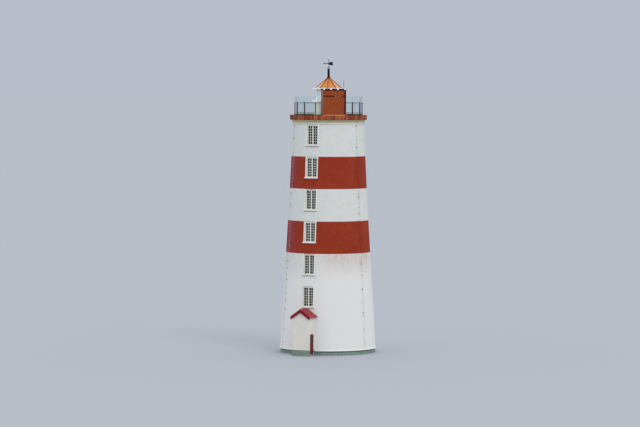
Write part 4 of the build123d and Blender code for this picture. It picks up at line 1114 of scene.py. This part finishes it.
def door_panel_moulding():
    """Raised moulding round the panel below the door's glass."""
    mesh = bmesh.new()
    y0, y1 = GLASS_LOW[1], GLASS_HIGH[1]
    z0, z1 = LEAF_LOW[2] + DOOR_PANEL_BOTTOM, LEAF_LOW[2] + DOOR_PANEL_TOP
    panel = DOOR_MIDDLE + DOOR_PANEL_HALF
    across = (y0 + DOOR_MOULDING, y1 - DOOR_MOULDING)
    for y_range, z_range in (((y0, y0 + DOOR_MOULDING), (z0, z1)), ((y1 - DOOR_MOULDING, y1), (z0, z1)),
                             (across, (z0, z0 + DOOR_MOULDING)), (across, (z1 - DOOR_MOULDING, z1))):
        block(mesh, UNTURNED, (panel - LET_IN, panel + DOOR_MOULDING_PROUD), y_range, z_range)
    piece_of("door_panel_moulding", mesh, "door_paint", "porch_door")


porch_boards()
porch_roof_seams()
door_bars()
door_kick_plate()
door_panel_moulding()

# Camera at the photograph's place: far off, level with the vane, to the right of the porch
PHOTO_DISTANCE = 300.0
PHOTO_HEIGHT = 26.98
PHOTO_PITCH = 2.64
PHOTO_YAW = 0.149
PHOTO_ROLL = 0.16
PHOTO_LENS = 177.6

camera_data = bpy.data.cameras.new("photograph_camera")
camera_data.lens = PHOTO_LENS
camera_data.clip_start = 1.0
camera_data.clip_end = 3000.0
camera = object_of("photograph_camera", camera_data)
aim = math.radians(PHOTO_AZIMUTH)
camera.location = (PHOTO_DISTANCE * math.sin(aim), -PHOTO_DISTANCE * math.cos(aim), PHOTO_HEIGHT)
heading = turned(PHOTO_AZIMUTH + PHOTO_YAW)
tilt = Matrix.Rotation(math.radians(90 - PHOTO_PITCH), 4, "X")
roll = Matrix.Rotation(math.radians(PHOTO_ROLL), 4, "Z")
camera.rotation_euler = (heading @ tilt @ roll).to_euler()
bpy.context.scene.camera = camera

# Pale floor, wide enough to reach the horizon and just below the tower's base
FLOOR_REACH = 2500.0
FLOOR_DROP = 0.002

floor_mesh = bpy.data.meshes.new("studio_floor")
floor_corners = [(x * FLOOR_REACH, y * FLOOR_REACH, 0) for x, y in ((-1, -1), (1, -1), (1, 1), (-1, 1))]
floor_mesh.from_pydata(floor_corners, [], [(0, 1, 2, 3)])
floor = object_of("studio_floor", floor_mesh)
floor.location.z = -FLOOR_DROP
floor_look, floor_tree, _ = new_material("pale_studio_floor")
finish_of(floor_tree, {"Base Color": "#a6acb5", "Roughness": 0.9})
floor_mesh.materials.append(floor_look)

# Overcast light: an even dome, and a broad soft sun high to the right of the camera
DOME_STRENGTH = 1.18
SUN_STRENGTH = 0.68
SUN_WIDTH = 25
SUN_TILT = 50
SUN_ASIDE = 30

world = bpy.data.worlds.new("studio_sky")
bpy.context.scene.world = world
world.use_nodes = True
sky = world.node_tree
sky.nodes.clear()
rays = add(sky, "LightPath").outputs
dome = add(sky, "Background", {"Color": "#f8f9fb", "Strength": DOME_STRENGTH})
backdrop = add(sky, "Background", {"Color": "#b8bec9", "Strength": 1.0})
direct = add(sky, "Math", {0: rays["Is Camera Ray"], 1: rays["Is Glossy Ray"]}, operation="MAXIMUM")
seen = add(sky, "Math", {0: direct, 1: rays["Is Transmission Ray"]}, operation="MAXIMUM")
add(sky, "OutputWorld", {"Surface": add(sky, "MixShader", {0: seen, 1: dome, 2: backdrop})})

sun_data = bpy.data.lights.new("soft_sun", "SUN")
sun_data.energy = SUN_STRENGTH
sun_data.angle = math.radians(SUN_WIDTH)
sun_data.color = linear("#fffaf2")[:3]
sun = object_of("soft_sun", sun_data)
sun.rotation_euler = (math.radians(SUN_TILT), 0, math.radians(PHOTO_AZIMUTH + SUN_ASIDE))

bpy.context.scene.view_settings.view_transform = "Standard"
